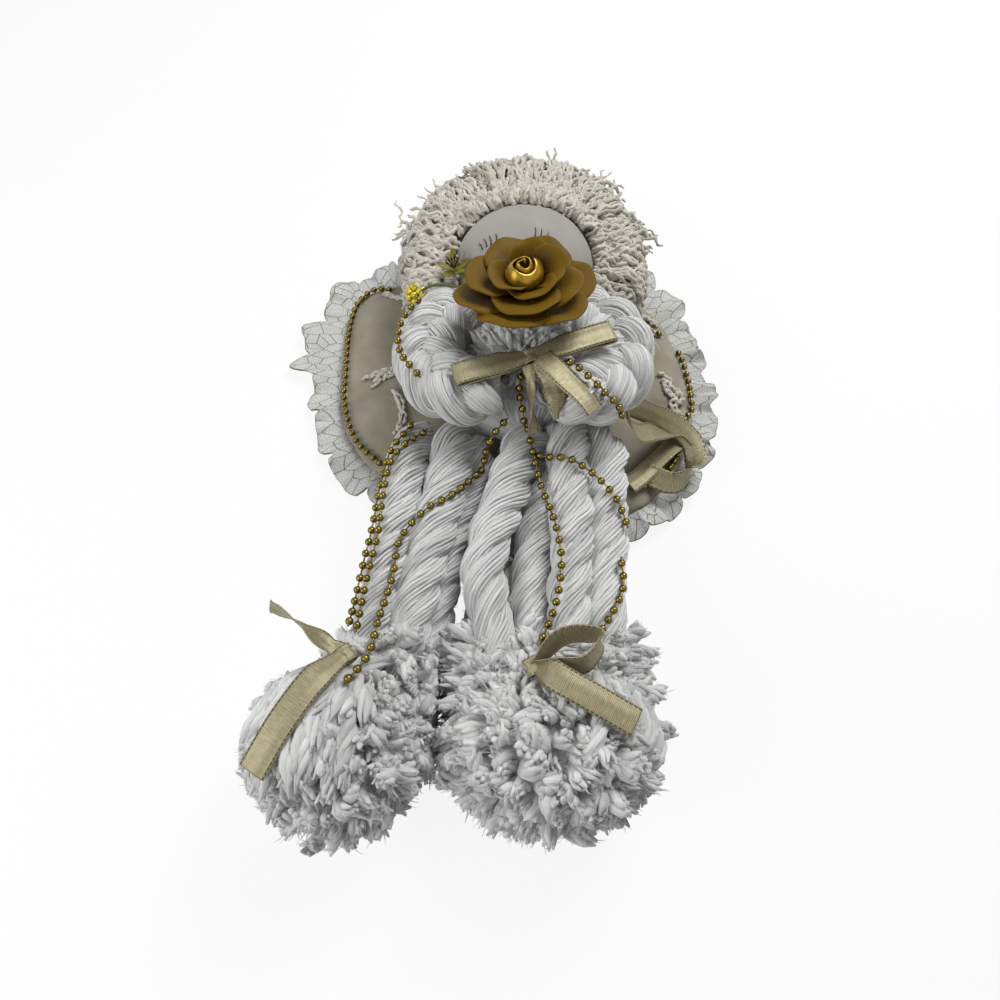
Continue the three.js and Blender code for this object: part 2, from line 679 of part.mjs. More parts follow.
// Ribbon tails that leave the knot and lie over the hands
const ribbonClear = ribbon.thick / 2 + 2 * fitGap;
const twistIn = (t) => 0.2 + 0.25 * Math.abs(Math.cos(2.4 * Math.PI * t));
const spindle = (t) => 0.25 + 0.75 * Math.sin(Math.PI * Math.min(1, 0.1 + t)) ** 0.7;
const tails = {
  chest_ribbon_twist: {
    route: [[11, 15, knotAt.z], [12, 8, 63], [12.5, 2, 60], [13, -3, 57]],
    side: vec(1, 0, 0),
    taper: twistIn,
  },
  chest_ribbon_spindle: {
    route: [[15, 16, knotAt.z], [20, 9, 66], [21, 2, 63], [21, -4, 60]],
    side: vec(1, 0, 0),
    taper: spindle,
  },
  chest_ribbon_wide: {
    route: [[16, 17, knotAt.z - 1], [24, 8, 68], [31, 1, 67], [36, -5, 62]],
    side: vec(1, 1, 0),
    taper: () => 1,
  },
};
const tailMeshes = [];
for (const [name, { route, side, taper }] of Object.entries(tails)) {
  const over = laidOver(route, [...chest, ...tailMeshes], ribbonClear, 3, ribbon.width / 2);
  const strip = solid(ribbonStrip(over, side, 9, taper));
  tailMeshes.push(piece(name, "ribbon", without(strip, [bowRoom])));
}

// A long ribbon that falls from under the right arm and turns back over the wing
const wingRibbonRoute = [
  [56, 16, 36], [64, 18, 24], [76, 17, 14], [86, 9, 12], [85, -4, 12], [76, -10, 12], [64, -4, 13],
];
const wingRibbonUnder = [
  rightPad, doll.getObjectByName("right_wing_beads_side"), doll.getObjectByName("right_wing_beads_low"),
];
const wingRibbonOver = laidOver(wingRibbonRoute, wingRibbonUnder, ribbonClear, 4, ribbon.width / 2);
piece("wing_ribbon", "ribbon", without(solid(ribbonStrip(wingRibbonOver, vec(0.5, 1, 0.6), 20)), armRoom));

// Ankle ribbons: a knot over the ankle cord, with tails that lie on the pompom
function ankleKnot(side, x, y) {
  const top = heightOver([...legMeshes[side], ...legStrings[side]], x, y, ankle.knotLength);
  const at = vec(x, y, top + ankle.knotDepth + fitGap);
  const half = vec(ankle.knotWidth, ankle.knotLength, ankle.knotDepth);
  return { at, body: egg(at, half, 0, undefined, 8, 5) };
}

const legStrings = { left: [], right: [] };
for (const [name, mesh] of Object.entries(stringMeshes)) {
  for (const side of ["left", "right"]) if (name.startsWith(`${side}_leg`)) legStrings[side].push(mesh);
}
const leftKnot = ankleKnot("left", -53, -96);
const leftLong = laidOver(
  [[-54, -97, leftKnot.at.z], [-64, -111], [-72, -124], [-78, -134]],
  [...legMeshes.left, ...legStrings.left], ribbonClear, 3, ribbon.width / 2,
);
const leftShort = through([leftKnot.at, vec(-64, -89, leftKnot.at.z + 3), vec(-79, -80, leftKnot.at.z + 1)]);
piece(
  "left_ankle_ribbon",
  "ribbon",
  joined([
    leftKnot.body,
    solid(ribbonStrip(leftLong, vec(1, -0.7, 0), 9)),
    solid(ribbonStrip(leftShort, vec(0.5, 1, 0), 6, (t) => 0.6 + 0.4 * Math.cos(4 * Math.PI * t))),
  ]),
);
const rightKnot = ankleKnot("right", 12, -99);
const rightLong = laidOver(
  [[13, -100, rightKnot.at.z], [22, -108], [33, -114], [44, -119]],
  [...legMeshes.right, ...legStrings.right], ribbonClear, 3, ribbon.width / 2,
);
const rightLoop = through([
  rightKnot.at,
  rightKnot.at.clone().add(vec(10, 8, 9)),
  rightKnot.at.clone().add(vec(22, 7, 8)),
  rightKnot.at.clone().add(vec(17, -1, 8)),
  rightKnot.at.clone().add(vec(7, -1, 4)),
  rightKnot.at,
]);
piece(
  "right_ankle_ribbon",
  "ribbon",
  joined([
    rightKnot.body,
    solid(ribbonStrip(rightLong, vec(0.4, 1, 0), 9)),
    solid(ribbonStrip(rightLoop, vec(-0.2, 0.4, 1), 11)),
  ]),
);

// Rose: three rings of petals and a rolled bud on a post that ends in a calyx
function petalRing(ring, thick, fine = 6, rows = 2) {
  const { petals, hole, reach, base, rise, cup, phase, notch, wave } = ring;
  const around = petals * fine;
  const rings = [];
  for (let i = 0; i < around; i++) {
    const turn = (2 * Math.PI * i) / around;
    const lobe = Math.abs(Math.sin((petals * turn) / 2)) ** 0.5;
    const far = reach * (1 - notch * (1 - lobe));
    const top = [];
    for (let j = 0; j <= rows; j++) {
      const r = THREE.MathUtils.lerp(hole, far, j / rows);
      const z = base + rise * (r / reach) ** cup + wave * Math.sin(petals * turn) * (r / reach) ** 2;
      top.push(vec(r * Math.cos(turn + phase), r * Math.sin(turn + phase), z));
    }
    const under = top.map((p) => p.clone().add(vec(0, 0, -thick))).reverse();
    rings.push([...top, ...under]);
  }
  return hoop(rings);
}

const petalStep = rose.petal + fitGap;
const hole = rose.post + 2 * fitGap;
const petalRings = {
  rose_outer_petals: {
    petals: 5, hole, reach: 28.5, base: 0, rise: 4, cup: 1.5, phase: 0.3, notch: 0.2, wave: 1.6,
  },
  rose_middle_petals: {
    petals: 5, hole, reach: 22, base: petalStep, rise: 8.5, cup: 1.3, phase: 0.9, notch: 0.18, wave: 1.3,
  },
  rose_inner_petals: {
    petals: 4, hole, reach: 15, base: 2 * petalStep, rise: 12, cup: 1.15, phase: 0.1, notch: 0.2, wave: 1,
  },
};
const roseTurn = new THREE.Matrix4().makeRotationX(rose.tilt);
const underRose = [coverMesh, bibMesh, ...armMeshes, doll.getObjectByName("chest_bow"), ...tailMeshes];
const outerTurned = petalRing(petalRings.rose_outer_petals, rose.petal).applyMatrix4(roseTurn);
const outerPoints = outerTurned.getAttribute("position");
let roseZ = 0;
for (let i = 0; i < outerPoints.count; i++) {
  const p = new THREE.Vector3().fromBufferAttribute(outerPoints, i);
  roseZ = Math.max(roseZ, heightOver(underRose, rose.x + p.x, rose.y + p.y, 1) + 2 * fitGap - p.z);
}
const roseFrame = new THREE.Matrix4().makeTranslation(rose.x, rose.y, roseZ).multiply(roseTurn);
const onRose = (geometry) => solid(geometry.applyMatrix4(roseFrame));
const budCentre = vec(0, 0, rose.postHigh + 3 * fitGap + rose.budHigh);
const budRoll = (turn, polar) => 0.1 * Math.sin(3 * turn + 4 * polar);
const budShape = (grow) =>
  onRose(eggShape(budCentre, vec(rose.bud, rose.bud, rose.budHigh), grow, budRoll, 14, 8));
const budRoom = budShape(2 * fitGap);
for (const [name, ring] of Object.entries(petalRings)) {
  piece(name, "petal", without(onRose(petalRing(ring, rose.petal)), [budRoom]));
}
piece("rose_bud", "petal", budShape(0));
const postRoute = through([vec(0, 0, rose.postLow), vec(0, 0, rose.postHigh)]);
const stalk = onRose(sweep(postRoute, 2, vec(1, 0, 0), () => ringSection(8, rose.post)));
const calyxHalf = vec(calyx.radius, calyx.radius, calyx.depth);
const calyxCup = onRose(eggShape(vec(0, 0, -calyx.below), calyxHalf, 0, undefined, 10, 6));
const bibRoom = egg(bibCentre, bibHalf, fitGap, bibBump);
piece("rose_calyx", "stem", without(joined([stalk, calyxCup]), [headRoom, bibRoom, ...armRoom]));

// Filler flower and berry pick, tucked in beside the rose
const cheek = [coverMesh, hairMesh, ...armMeshes];

function stemBetween(points, radius) {
  const over = laidOver(points, cheek, radius + 1.5 * fitGap, 1.5);
  return solid(sweep(over, 9, vec(0, 0, 1), () => ringSection(6, radius)));
}

const flowerAt = vec(filler.x, filler.y);
flowerAt.z = heightOver(cheek, filler.x, filler.y, filler.reach / 2) + filler.heart - fitGap;
const flowerRing = {
  petals: 5, hole: 1.4, reach: filler.reach, base: 0, rise: 2.5, cup: 1.2, phase: 0, notch: 0.45, wave: 0.5,
};

function flowerBody(grow) {
  const wider = { ...flowerRing, hole: flowerRing.hole - grow, reach: flowerRing.reach + grow };
  const frame = new THREE.Matrix4().makeTranslation(flowerAt.x, flowerAt.y, flowerAt.z + grow);
  const ring = solid(petalRing(wider, filler.petal + 2 * grow, 4, 1).applyMatrix4(frame));
  return joined([ring, egg(flowerAt, vec(filler.heart, filler.heart, filler.heart), grow, undefined, 6, 4)]);
}

piece("filler_flower", "stem", flowerBody(0));
const flowerRoom = flowerBody(fitGap);
const fillerStem = stemBetween([[-9, 60], [-13, 65], [-18, 70], [filler.x, filler.y]], filler.stem);
piece("filler_stem", "stem", without(fillerStem, [flowerRoom]));

const berryAt = vec(berry.x, berry.y);
berryAt.z = heightOver(cheek, berry.x, berry.y, 1.5 * berry.radius) + berry.radius + fitGap;
const berrySpots = [
  [0, 0, 2.6], [4, 1, 0.4], [-3.6, 1.8, 0.6], [1, -4, 0.5], [-3, -3, 1.4], [2.4, 3.8, 0.8],
].map((p) => berryAt.clone().add(vec(...p)));
const berryHalf = vec(berry.radius, berry.radius, berry.radius);
const berries = (grow) => joined(berrySpots.map((at) => egg(at, berryHalf, grow, undefined, 6, 4)));
piece("berry_cluster", "berry", berries(0));
const berryRoom = berries(fitGap);
const berryStem = stemBetween([[-15, 58, 58], [-22, 61, 55], [-33, 64, 51]], berry.stem);
piece("berry_stem", "stem", without(berryStem, [berryRoom, flowerRoom]));

doll.updateMatrixWorld(true);
export default doll;
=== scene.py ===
# Yarn doll lying on its back: visible yarn, cloth, beads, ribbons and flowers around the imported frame.
# Row frame in metres: +X right, +Y to the head, +Z out of the doll's front. Sizes below are millimetres.
import math

import bpy
import numpy as np
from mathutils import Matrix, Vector
from mathutils.bvhtree import BVHTree


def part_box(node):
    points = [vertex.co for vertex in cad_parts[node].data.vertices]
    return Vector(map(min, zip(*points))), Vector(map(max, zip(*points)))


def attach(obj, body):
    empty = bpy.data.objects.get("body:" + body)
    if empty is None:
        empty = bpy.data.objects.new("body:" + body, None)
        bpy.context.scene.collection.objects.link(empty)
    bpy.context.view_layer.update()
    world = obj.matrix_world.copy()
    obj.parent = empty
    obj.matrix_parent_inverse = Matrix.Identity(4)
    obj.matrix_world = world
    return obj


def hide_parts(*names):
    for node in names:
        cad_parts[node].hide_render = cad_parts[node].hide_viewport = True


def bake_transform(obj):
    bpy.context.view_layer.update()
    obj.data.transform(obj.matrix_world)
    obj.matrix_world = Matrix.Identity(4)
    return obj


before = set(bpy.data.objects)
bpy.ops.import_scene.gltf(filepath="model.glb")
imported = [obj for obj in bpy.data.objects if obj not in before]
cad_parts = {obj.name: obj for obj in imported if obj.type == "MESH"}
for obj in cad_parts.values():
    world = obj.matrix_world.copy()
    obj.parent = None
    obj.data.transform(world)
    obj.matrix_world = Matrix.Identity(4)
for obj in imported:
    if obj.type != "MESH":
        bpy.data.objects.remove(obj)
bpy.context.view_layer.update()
mm = 0.001
rng = np.random.default_rng(41)
scene = bpy.context.scene

# Camera at the photograph's angle: square frame, tilted 25 degrees towards the head
cameraSetup = {"place": (0, -156.1, 309.05), "tilt": 25, "lens": 27.04, "sensor": 36}
camera = bpy.data.objects.new("camera", bpy.data.cameras.new("camera"))
camera.data.lens = cameraSetup["lens"]
camera.data.sensor_width = cameraSetup["sensor"]
camera.data.clip_start = 0.01
camera.location = Vector(cameraSetup["place"]) * mm
camera.rotation_euler = (math.radians(cameraSetup["tilt"]), 0, 0)
scene.collection.objects.link(camera)
scene.camera = camera
scene.view_settings.view_transform = "Standard"


# Material helpers
def linear(hexColour):
    parts = [int(hexColour[i:i + 2], 16) / 255 for i in (1, 3, 5)]
    return [c / 12.92 if c <= 0.04045 else ((c + 0.055) / 1.055) ** 2.4 for c in parts] + [1.0]


# A colour mix takes its factor at socket 0 and its colours at 6 and 7, and gives the result at 2
def addNode(tree, kind, settings=None, links=None):
    node = tree.nodes.new(kind)
    for key, value in (settings or {}).items():
        if isinstance(key, int) or key in node.inputs:
            node.inputs[key].default_value = value
        else:
            setattr(node, key, value)
    for key, source in (links or {}).items():
        tree.links.new(source, node.inputs[key])
    return node


def startMaterial(name, **values):
    material = bpy.data.materials.new(name)
    material.use_nodes = True
    shader = material.node_tree.nodes["Principled BSDF"]
    for key, value in values.items():
        shader.inputs[key.replace("_", " ")].default_value = value
    return material, material.node_tree, shader


# Mercerised cotton, loosely spun: clean white, faint sheen, fine fibres that run along each thread
# Fibres and their clumps are 0.2 mm wide; they are drawn at 0.7 mm so that they show
def cottonYarn():
    look = {
        "fibre": 0.7, "stretch": 9, "streak": 0.7, "low": "#a8a9a8", "high": "#fbfbfa", "bump": 0.9,
        "relief": 0.8,
    }
    material, tree, shader = startMaterial(
        "cottonYarn", Roughness=0.78, Sheen_Weight=0.35, Sheen_Roughness=0.45, Subsurface_Weight=0.3,
        Subsurface_Radius=(0.0012, 0.0012, 0.0013), Subsurface_Scale=1.0,
    )
    lie = addNode(tree, "ShaderNodeAttribute", {"attribute_name": "lie"})
    shade = addNode(tree, "ShaderNodeAttribute", {"attribute_name": "shade"})
    fine = 1 / look["fibre"]
    along = addNode(
        tree, "ShaderNodeVectorMath", {"operation": "MULTIPLY", 1: (fine, fine, fine / look["stretch"])},
        {0: lie.outputs["Vector"]},
    )
    fibres = addNode(
        tree, "ShaderNodeTexNoise", {"Scale": 1.0, "Detail": 3.0, "Roughness": 0.6},
        {"Vector": along.outputs[0]},
    )
    tone = addNode(
        tree, "ShaderNodeMath", {"operation": "MULTIPLY_ADD", 1: look["streak"]},
        {0: fibres.outputs["Fac"], 2: shade.outputs["Fac"]},
    )
    colour = addNode(
        tree, "ShaderNodeMix", {"data_type": "RGBA", 6: linear(look["low"]), 7: linear(look["high"])},
        {0: tone.outputs[0]},
    )
    tree.links.new(colour.outputs[2], shader.inputs["Base Color"])
    bump = addNode(
        tree, "ShaderNodeBump", {"Strength": look["bump"], "Distance": look["relief"] * mm},
        {"Height": fibres.outputs["Fac"]},
    )
    tree.links.new(bump.outputs[0], shader.inputs["Normal"])
    return material


# Boucle yarn, spun in small loops: warm cream, matt, nubby all over
def boucleYarn():
    look = {"nub": 1.1, "fleck": 0.7, "low": "#a39d8f", "high": "#ece8de", "bump": 0.6, "relief": 0.8}
    material, tree, shader = startMaterial(
        "boucleYarn", Roughness=0.92, Sheen_Weight=0.2, Subsurface_Weight=0.06,
        Subsurface_Radius=(0.0012, 0.0011, 0.0009), Subsurface_Scale=1.0,
    )
    where = addNode(tree, "ShaderNodeTexCoord")
    shade = addNode(tree, "ShaderNodeAttribute", {"attribute_name": "shade"})
    nubs = addNode(
        tree, "ShaderNodeTexNoise", {"Scale": 1 / (look["nub"] * mm), "Detail": 3.0, "Roughness": 0.65},
        {"Vector": where.outputs["Object"]},
    )
    tone = addNode(
        tree, "ShaderNodeMath", {"operation": "MULTIPLY_ADD", 1: look["fleck"]},
        {0: nubs.outputs["Fac"], 2: shade.outputs["Fac"]},
    )
    colour = addNode(
        tree, "ShaderNodeMix", {"data_type": "RGBA", 6: linear(look["low"]), 7: linear(look["high"])},
        {0: tone.outputs[0]},
    )
    tree.links.new(colour.outputs[2], shader.inputs["Base Color"])
    bump = addNode(
        tree, "ShaderNodeBump", {"Strength": look["bump"], "Distance": look["relief"] * mm},
        {"Height": nubs.outputs["Fac"]},
    )
    tree.links.new(bump.outputs[0], shader.inputs["Normal"])
    return material


# Wave bands repeat every 0.314 units at a scale of 1, so this over a spacing gives the scale
bandUnit = 0.314


# Unbleached muslin, plain woven cotton: warm off-white, dry, threads just visible
# The real threads lie 0.4 mm apart; they are drawn at 0.8 mm, because finer ones don't show in the render
def muslinCloth(name, low, high):
    look = {"thread": 0.8, "mottle": 14, "weave": 0.3, "bump": 0.28, "relief": 0.3}
    material, tree, shader = startMaterial(name, Roughness=0.88, Sheen_Weight=0.15)
    where = addNode(tree, "ShaderNodeTexCoord")
    bandScale = bandUnit / (look["thread"] * mm)
    warp, weft = (
        addNode(
            tree, "ShaderNodeTexWave",
            {"bands_direction": direction, "Scale": bandScale, "Distortion": 0.6, "Detail": 1.0},
            {"Vector": where.outputs["Object"]},
        )
        for direction in ("X", "Y")
    )
    weave = addNode(
        tree, "ShaderNodeMath", {"operation": "MULTIPLY"}, {0: warp.outputs["Fac"], 1: weft.outputs["Fac"]},
    )
    mottle = addNode(
        tree, "ShaderNodeTexNoise", {"Scale": 1 / (look["mottle"] * mm), "Detail": 4.0},
        {"Vector": where.outputs["Object"]},
    )
    tone = addNode(
        tree, "ShaderNodeMath", {"operation": "MULTIPLY_ADD", 1: look["weave"]},
        {0: weave.outputs[0], 2: mottle.outputs["Fac"]},
    )
    colour = addNode(
        tree, "ShaderNodeMix", {"data_type": "RGBA", 6: linear(low), 7: linear(high)}, {0: tone.outputs[0]},
    )
    tree.links.new(colour.outputs[2], shader.inputs["Base Color"])
    bump = addNode(
        tree, "ShaderNodeBump", {"Strength": look["bump"], "Distance": look["relief"] * mm},
        {"Height": weave.outputs[0]},
    )
    tree.links.new(bump.outputs[0], shader.inputs["Normal"])
    return material


# Machine lace on nylon net: grey-white, half open, with a crackle of thin metallic threads and a corded edge
# The net's holes are 0.7 mm; they are drawn at 1.1 mm so that they show
# The third number of lie is 0 in the net and over look["cord"] along the corded edge
def laceNet():
    look = {
        "crackle": 6.0, "line": 0.026, "hole": 1.1, "patch": 8.3333, "cord": 100.0, "low": "#bfc0bd",
        "high": "#eceded", "thread": "#7a6d48", "shine": 0.5, "bump": 0.5, "relief": 0.4,
    }
    material, tree, shader = startMaterial("laceNet", Roughness=0.75, Sheen_Weight=0.2)
    lie = addNode(tree, "ShaderNodeAttribute", {"attribute_name": "lie"})
    crackle = addNode(
        tree, "ShaderNodeTexVoronoi",
        {"voronoi_dimensions": "2D", "feature": "DISTANCE_TO_EDGE", "Scale": 1 / look["crackle"]},
        {"Vector": lie.outputs["Vector"]},
    )
    line = addNode(
        tree, "ShaderNodeMath", {"operation": "LESS_THAN", 1: look["line"]}, {0: crackle.outputs["Distance"]},
    )
    apart = addNode(tree, "ShaderNodeSeparateXYZ", None, {0: lie.outputs["Vector"]})
    edge = addNode(
        tree, "ShaderNodeMath", {"operation": "GREATER_THAN", 1: look["cord"]}, {0: apart.outputs[2]},
    )
    drawn = addNode(
        tree, "ShaderNodeMath", {"operation": "MAXIMUM"}, {0: line.outputs[0], 1: edge.outputs[0]},
    )
    net = addNode(
        tree, "ShaderNodeTexVoronoi",
        {"voronoi_dimensions": "2D", "feature": "DISTANCE_TO_EDGE", "Scale": 1 / look["hole"]},
        {"Vector": lie.outputs["Vector"]},
    )
    patches = addNode(
        tree, "ShaderNodeTexNoise", {"Scale": 1 / look["patch"], "Detail": 3.0},
        {"Vector": lie.outputs["Vector"]},
    )
    cloth = addNode(
        tree, "ShaderNodeMix", {"data_type": "RGBA", 6: linear(look["low"]), 7: linear(look["high"])},
        {0: patches.outputs["Fac"]},
    )
    gold = addNode(
        tree, "ShaderNodeMix", {"data_type": "RGBA", 7: linear(look["thread"])},
        {0: drawn.outputs[0], 6: cloth.outputs[2]},
    )
    tree.links.new(gold.outputs[2], shader.inputs["Base Color"])
    metal = addNode(
        tree, "ShaderNodeMath", {"operation": "MULTIPLY", 1: look["shine"]}, {0: drawn.outputs[0]},
    )
    tree.links.new(metal.outputs[0], shader.inputs["Metallic"])
    solid = addNode(
        tree, "ShaderNodeMapRange", {"From Min": 0.05, "From Max": 0.3, "To Min": 0.95, "To Max": 0.6},
        {"Value": net.outputs["Distance"]},
    )
    cover = addNode(
        tree, "ShaderNodeMath", {"operation": "MAXIMUM"}, {0: solid.outputs[0], 1: drawn.outputs[0]},
    )
    tree.links.new(cover.outputs[0], shader.inputs["Alpha"])
    bump = addNode(
        tree, "ShaderNodeBump", {"Strength": look["bump"], "Distance": look["relief"] * mm},
        {"Height": cover.outputs[0]},
    )
    tree.links.new(bump.outputs[0], shader.inputs["Normal"])
    return material


# Polystyrene beads, vacuum metallised: mirror gold, slightly worn to a duller yellow
def metallisedBead():
    look = {"wear": 1.6, "low": "#382e0d", "high": "#8a7a40", "polished": 0.08, "worn": 0.22}
    material, tree, shader = startMaterial("metallisedBead", Metallic=1.0)
    where = addNode(tree, "ShaderNodeTexCoord")
    wear = addNode(
        tree, "ShaderNodeTexNoise", {"Scale": 1 / (look["wear"] * mm), "Detail": 3.0},
        {"Vector": where.outputs["Object"]},
    )
    colour = addNode(
        tree, "ShaderNodeMix", {"data_type": "RGBA", 6: linear(look["low"]), 7: linear(look["high"])},
        {0: wear.outputs["Fac"]},
    )
    tree.links.new(colour.outputs[2], shader.inputs["Base Color"])
    rough = addNode(
        tree, "ShaderNodeMapRange",
        {"From Min": 0.3, "From Max": 0.75, "To Min": look["polished"], "To Max": look["worn"]},
        {"Value": wear.outputs["Fac"]},
    )
    tree.links.new(rough.outputs[0], shader.inputs["Roughness"])
    return material


# Woven lame ribbon: champagne metal weft over a dull warp, crosswise sparkle, dark dashed selvedge
# The weft's pitch is 0.3 mm; it is drawn at 0.6 mm so that it shows
def lameRibbon():
    look = {
        "weft": 0.6, "band": 0.45, "glint": 0.58824, "darker": 0.25, "dash": 1.7, "dashShare": 0.66,
        "edge": 0.84, "outer": 0.93, "low": "#645b3e", "high": "#b6ae8b", "selvedge": "#3a331c",
        "bump": 0.35, "relief": 0.3,
    }
    material, tree, shader = startMaterial("lameRibbon", Metallic=0.3, Roughness=0.42)
    lie = addNode(tree, "ShaderNodeAttribute", {"attribute_name": "lie"})
    apart = addNode(tree, "ShaderNodeSeparateXYZ", None, {0: lie.outputs["Vector"]})
    weft = addNode(
        tree, "ShaderNodeTexWave",
        {
            "bands_direction": "Y", "Scale": bandUnit / look["weft"], "Distortion": 3.0, "Detail": 2.0,
            "Detail Scale": 2.0,
        },
        {"Vector": lie.outputs["Vector"]},
    )
    glint = addNode(
        tree, "ShaderNodeTexNoise", {"Scale": 1 / look["glint"], "Detail": 3.0, "Roughness": 0.7},
        {"Vector": lie.outputs["Vector"]},
    )
    tone = addNode(
        tree, "ShaderNodeMath", {"operation": "MULTIPLY_ADD", 1: look["band"]},
        {0: weft.outputs["Fac"], 2: glint.outputs["Fac"]},
    )
    shifted = addNode(
        tree, "ShaderNodeMath", {"operation": "SUBTRACT", 1: look["darker"]}, {0: tone.outputs[0]},
    )
    cloth = addNode(
        tree, "ShaderNodeMix", {"data_type": "RGBA", 6: linear(look["low"]), 7: linear(look["high"])},
        {0: shifted.outputs[0]},
    )
    side = addNode(tree, "ShaderNodeMath", {"operation": "ABSOLUTE"}, {0: apart.outputs[0]})
    past = addNode(
        tree, "ShaderNodeMath", {"operation": "GREATER_THAN", 1: look["edge"]}, {0: side.outputs[0]},
    )
    within = addNode(
        tree, "ShaderNodeMath", {"operation": "LESS_THAN", 1: look["outer"]}, {0: side.outputs[0]},
    )
    rim = addNode(
        tree, "ShaderNodeMath", {"operation": "MULTIPLY"}, {0: past.outputs[0], 1: within.outputs[0]},
    )
    beat = addNode(
        tree, "ShaderNodeMath", {"operation": "MULTIPLY", 1: 1 / look["dash"]}, {0: apart.outputs[1]},
    )
    part = addNode(tree, "ShaderNodeMath", {"operation": "FRACT"}, {0: beat.outputs[0]})
    dash = addNode(
        tree, "ShaderNodeMath", {"operation": "LESS_THAN", 1: look["dashShare"]}, {0: part.outputs[0]},
    )
    drawn = addNode(
        tree, "ShaderNodeMath", {"operation": "MULTIPLY"}, {0: rim.outputs[0], 1: dash.outputs[0]},
    )
    colour = addNode(
        tree, "ShaderNodeMix", {"data_type": "RGBA", 7: linear(look["selvedge"])},
        {0: drawn.outputs[0], 6: cloth.outputs[2]},
    )
    tree.links.new(colour.outputs[2], shader.inputs["Base Color"])
    bump = addNode(
        tree, "ShaderNodeBump", {"Strength": look["bump"], "Distance": look["relief"] * mm},
        {"Height": tone.outputs[0]},
    )
    tree.links.new(bump.outputs[0], shader.inputs["Normal"])
    return material


# Polyester satin petals, dyed and heat-cupped: mustard gold, a soft gloss along the weave, painted shade that
# darkens each petal towards the throat, and painted satin sheen in light and dark streaks along the weave
# Their lie runs from 0 at the foot to 1 at the lip and from -1 to 1 across
def satinPetal():
    look = {
        "vein": 0.09, "veinLength": 0.625, "sheenStreakTone": 0.3, "bump": 0.35, "relief": 0.5,
        "throatShadedTones": {0.2: "#1f1302", 0.55: "#412f02", 1.0: "#6b5003"},
    }
    material, tree, shader = startMaterial("satinPetal", Roughness=0.55, Specular_IOR_Level=0.15)
    lie = addNode(tree, "ShaderNodeAttribute", {"attribute_name": "lie"})
    apart = addNode(tree, "ShaderNodeSeparateXYZ", None, {0: lie.outputs["Vector"]})
    streaks = addNode(
        tree, "ShaderNodeVectorMath",
        {"operation": "MULTIPLY", 1: (1 / look["veinLength"], 1 / look["vein"], 1.0)},
        {0: lie.outputs["Vector"]},
    )
    veinsAndSheen = addNode(
        tree, "ShaderNodeTexNoise", {"Scale": 1.0, "Detail": 4.0, "Roughness": 0.6},
        {"Vector": streaks.outputs[0]},
    )
    # Painted shade, darker from the lip down to the throat, with streaks of painted sheen along each petal;
    # the same streaks also raise the bumps
    depth = addNode(
        tree, "ShaderNodeMath", {"operation": "MULTIPLY_ADD", 1: look["sheenStreakTone"]},
        {0: veinsAndSheen.outputs["Fac"], 2: apart.outputs[0]},
    )
    ramp = addNode(tree, "ShaderNodeValToRGB", None, {"Fac": depth.outputs[0]})
    stops = ramp.color_ramp.elements
    stops.new(0.5)
    for stop, (place, tone) in zip(stops, look["throatShadedTones"].items()):
        stop.position = place
        stop.color = linear(tone)
    tree.links.new(ramp.outputs["Color"], shader.inputs["Base Color"])
    bump = addNode(
        tree, "ShaderNodeBump", {"Strength": look["bump"], "Distance": look["relief"] * mm},
        {"Height": veinsAndSheen.outputs["Fac"]},
    )
    tree.links.new(bump.outputs[0], shader.inputs["Normal"])
    return material


# Plain finishes with a little grain: foil, floral plastic, glitter coat, stamens and ink
def grainedFinish(name, low, high, grain, rough, metallic=0.0, bump=0.2):
    look = {"smoother": 0.8, "rougher": 1.25, "relief": 0.5}
    material, tree, shader = startMaterial(name, Metallic=metallic)
    where = addNode(tree, "ShaderNodeTexCoord")
    noise = addNode(
        tree, "ShaderNodeTexNoise", {"Scale": 1 / (grain * mm), "Detail": 4.0},
        {"Vector": where.outputs["Object"]},
    )
    colour = addNode(
        tree, "ShaderNodeMix", {"data_type": "RGBA", 6: linear(low), 7: linear(high)},
        {0: noise.outputs["Fac"]},
    )
    tree.links.new(colour.outputs[2], shader.inputs["Base Color"])
    spread = addNode(
        tree, "ShaderNodeMapRange",
        {
            "From Min": 0.3, "From Max": 0.7,
            "To Min": rough * look["smoother"], "To Max": rough * look["rougher"],
        },
        {"Value": noise.outputs["Fac"]},
    )
    tree.links.new(spread.outputs[0], shader.inputs["Roughness"])
    relief = addNode(
        tree, "ShaderNodeBump", {"Strength": bump, "Distance": look["relief"] * mm},
        {"Height": noise.outputs["Fac"]},
    )
    tree.links.new(relief.outputs[0], shader.inputs["Normal"])
    return material


finishes = {
    "cotton": cottonYarn(),
    "boucle": boucleYarn(),
    "wingCloth": muslinCloth("unbleachedMuslin", "#746e5d", "#b2ac9a"),
    "headCloth": muslinCloth("bleachedMuslin", "#8f8d86", "#aca9a1"),
    "lace": laceNet(),
    "bead": metallisedBead(),
    "ribbon": lameRibbon(),
    "petal": satinPetal(),
    "foil": grainedFinish("goldFoil", "#6b520a", "#c79f2c", 3.0, 0.3, 0.55, 0.5),
    "stem": grainedFinish("floralPlastic", "#26330f", "#5a6a2c", 1.5, 0.5),
    "sepal": grainedFinish("dyedSepal", "#4a4a0c", "#97901f", 2.0, 0.55),
    "stamen": grainedFinish("waxedStamen", "#1d1208", "#4a2c14", 0.8, 0.4),
    "berry": grainedFinish("glitterCoat", "#8a7408", "#e2cf3e", 0.7, 0.3, 0.6, 0.9),
    "ink": grainedFinish("fabricInk", "#0d0b09", "#221c18", 0.5, 0.6),
    "thread": grainedFinish("sewingThread", "#c9c2b2", "#efeadf", 0.4, 0.8),
}
print("materials made", len(finishes))


# Paths: a smooth curve through points given in millimetres, and frames carried along it
curveSteps = 40


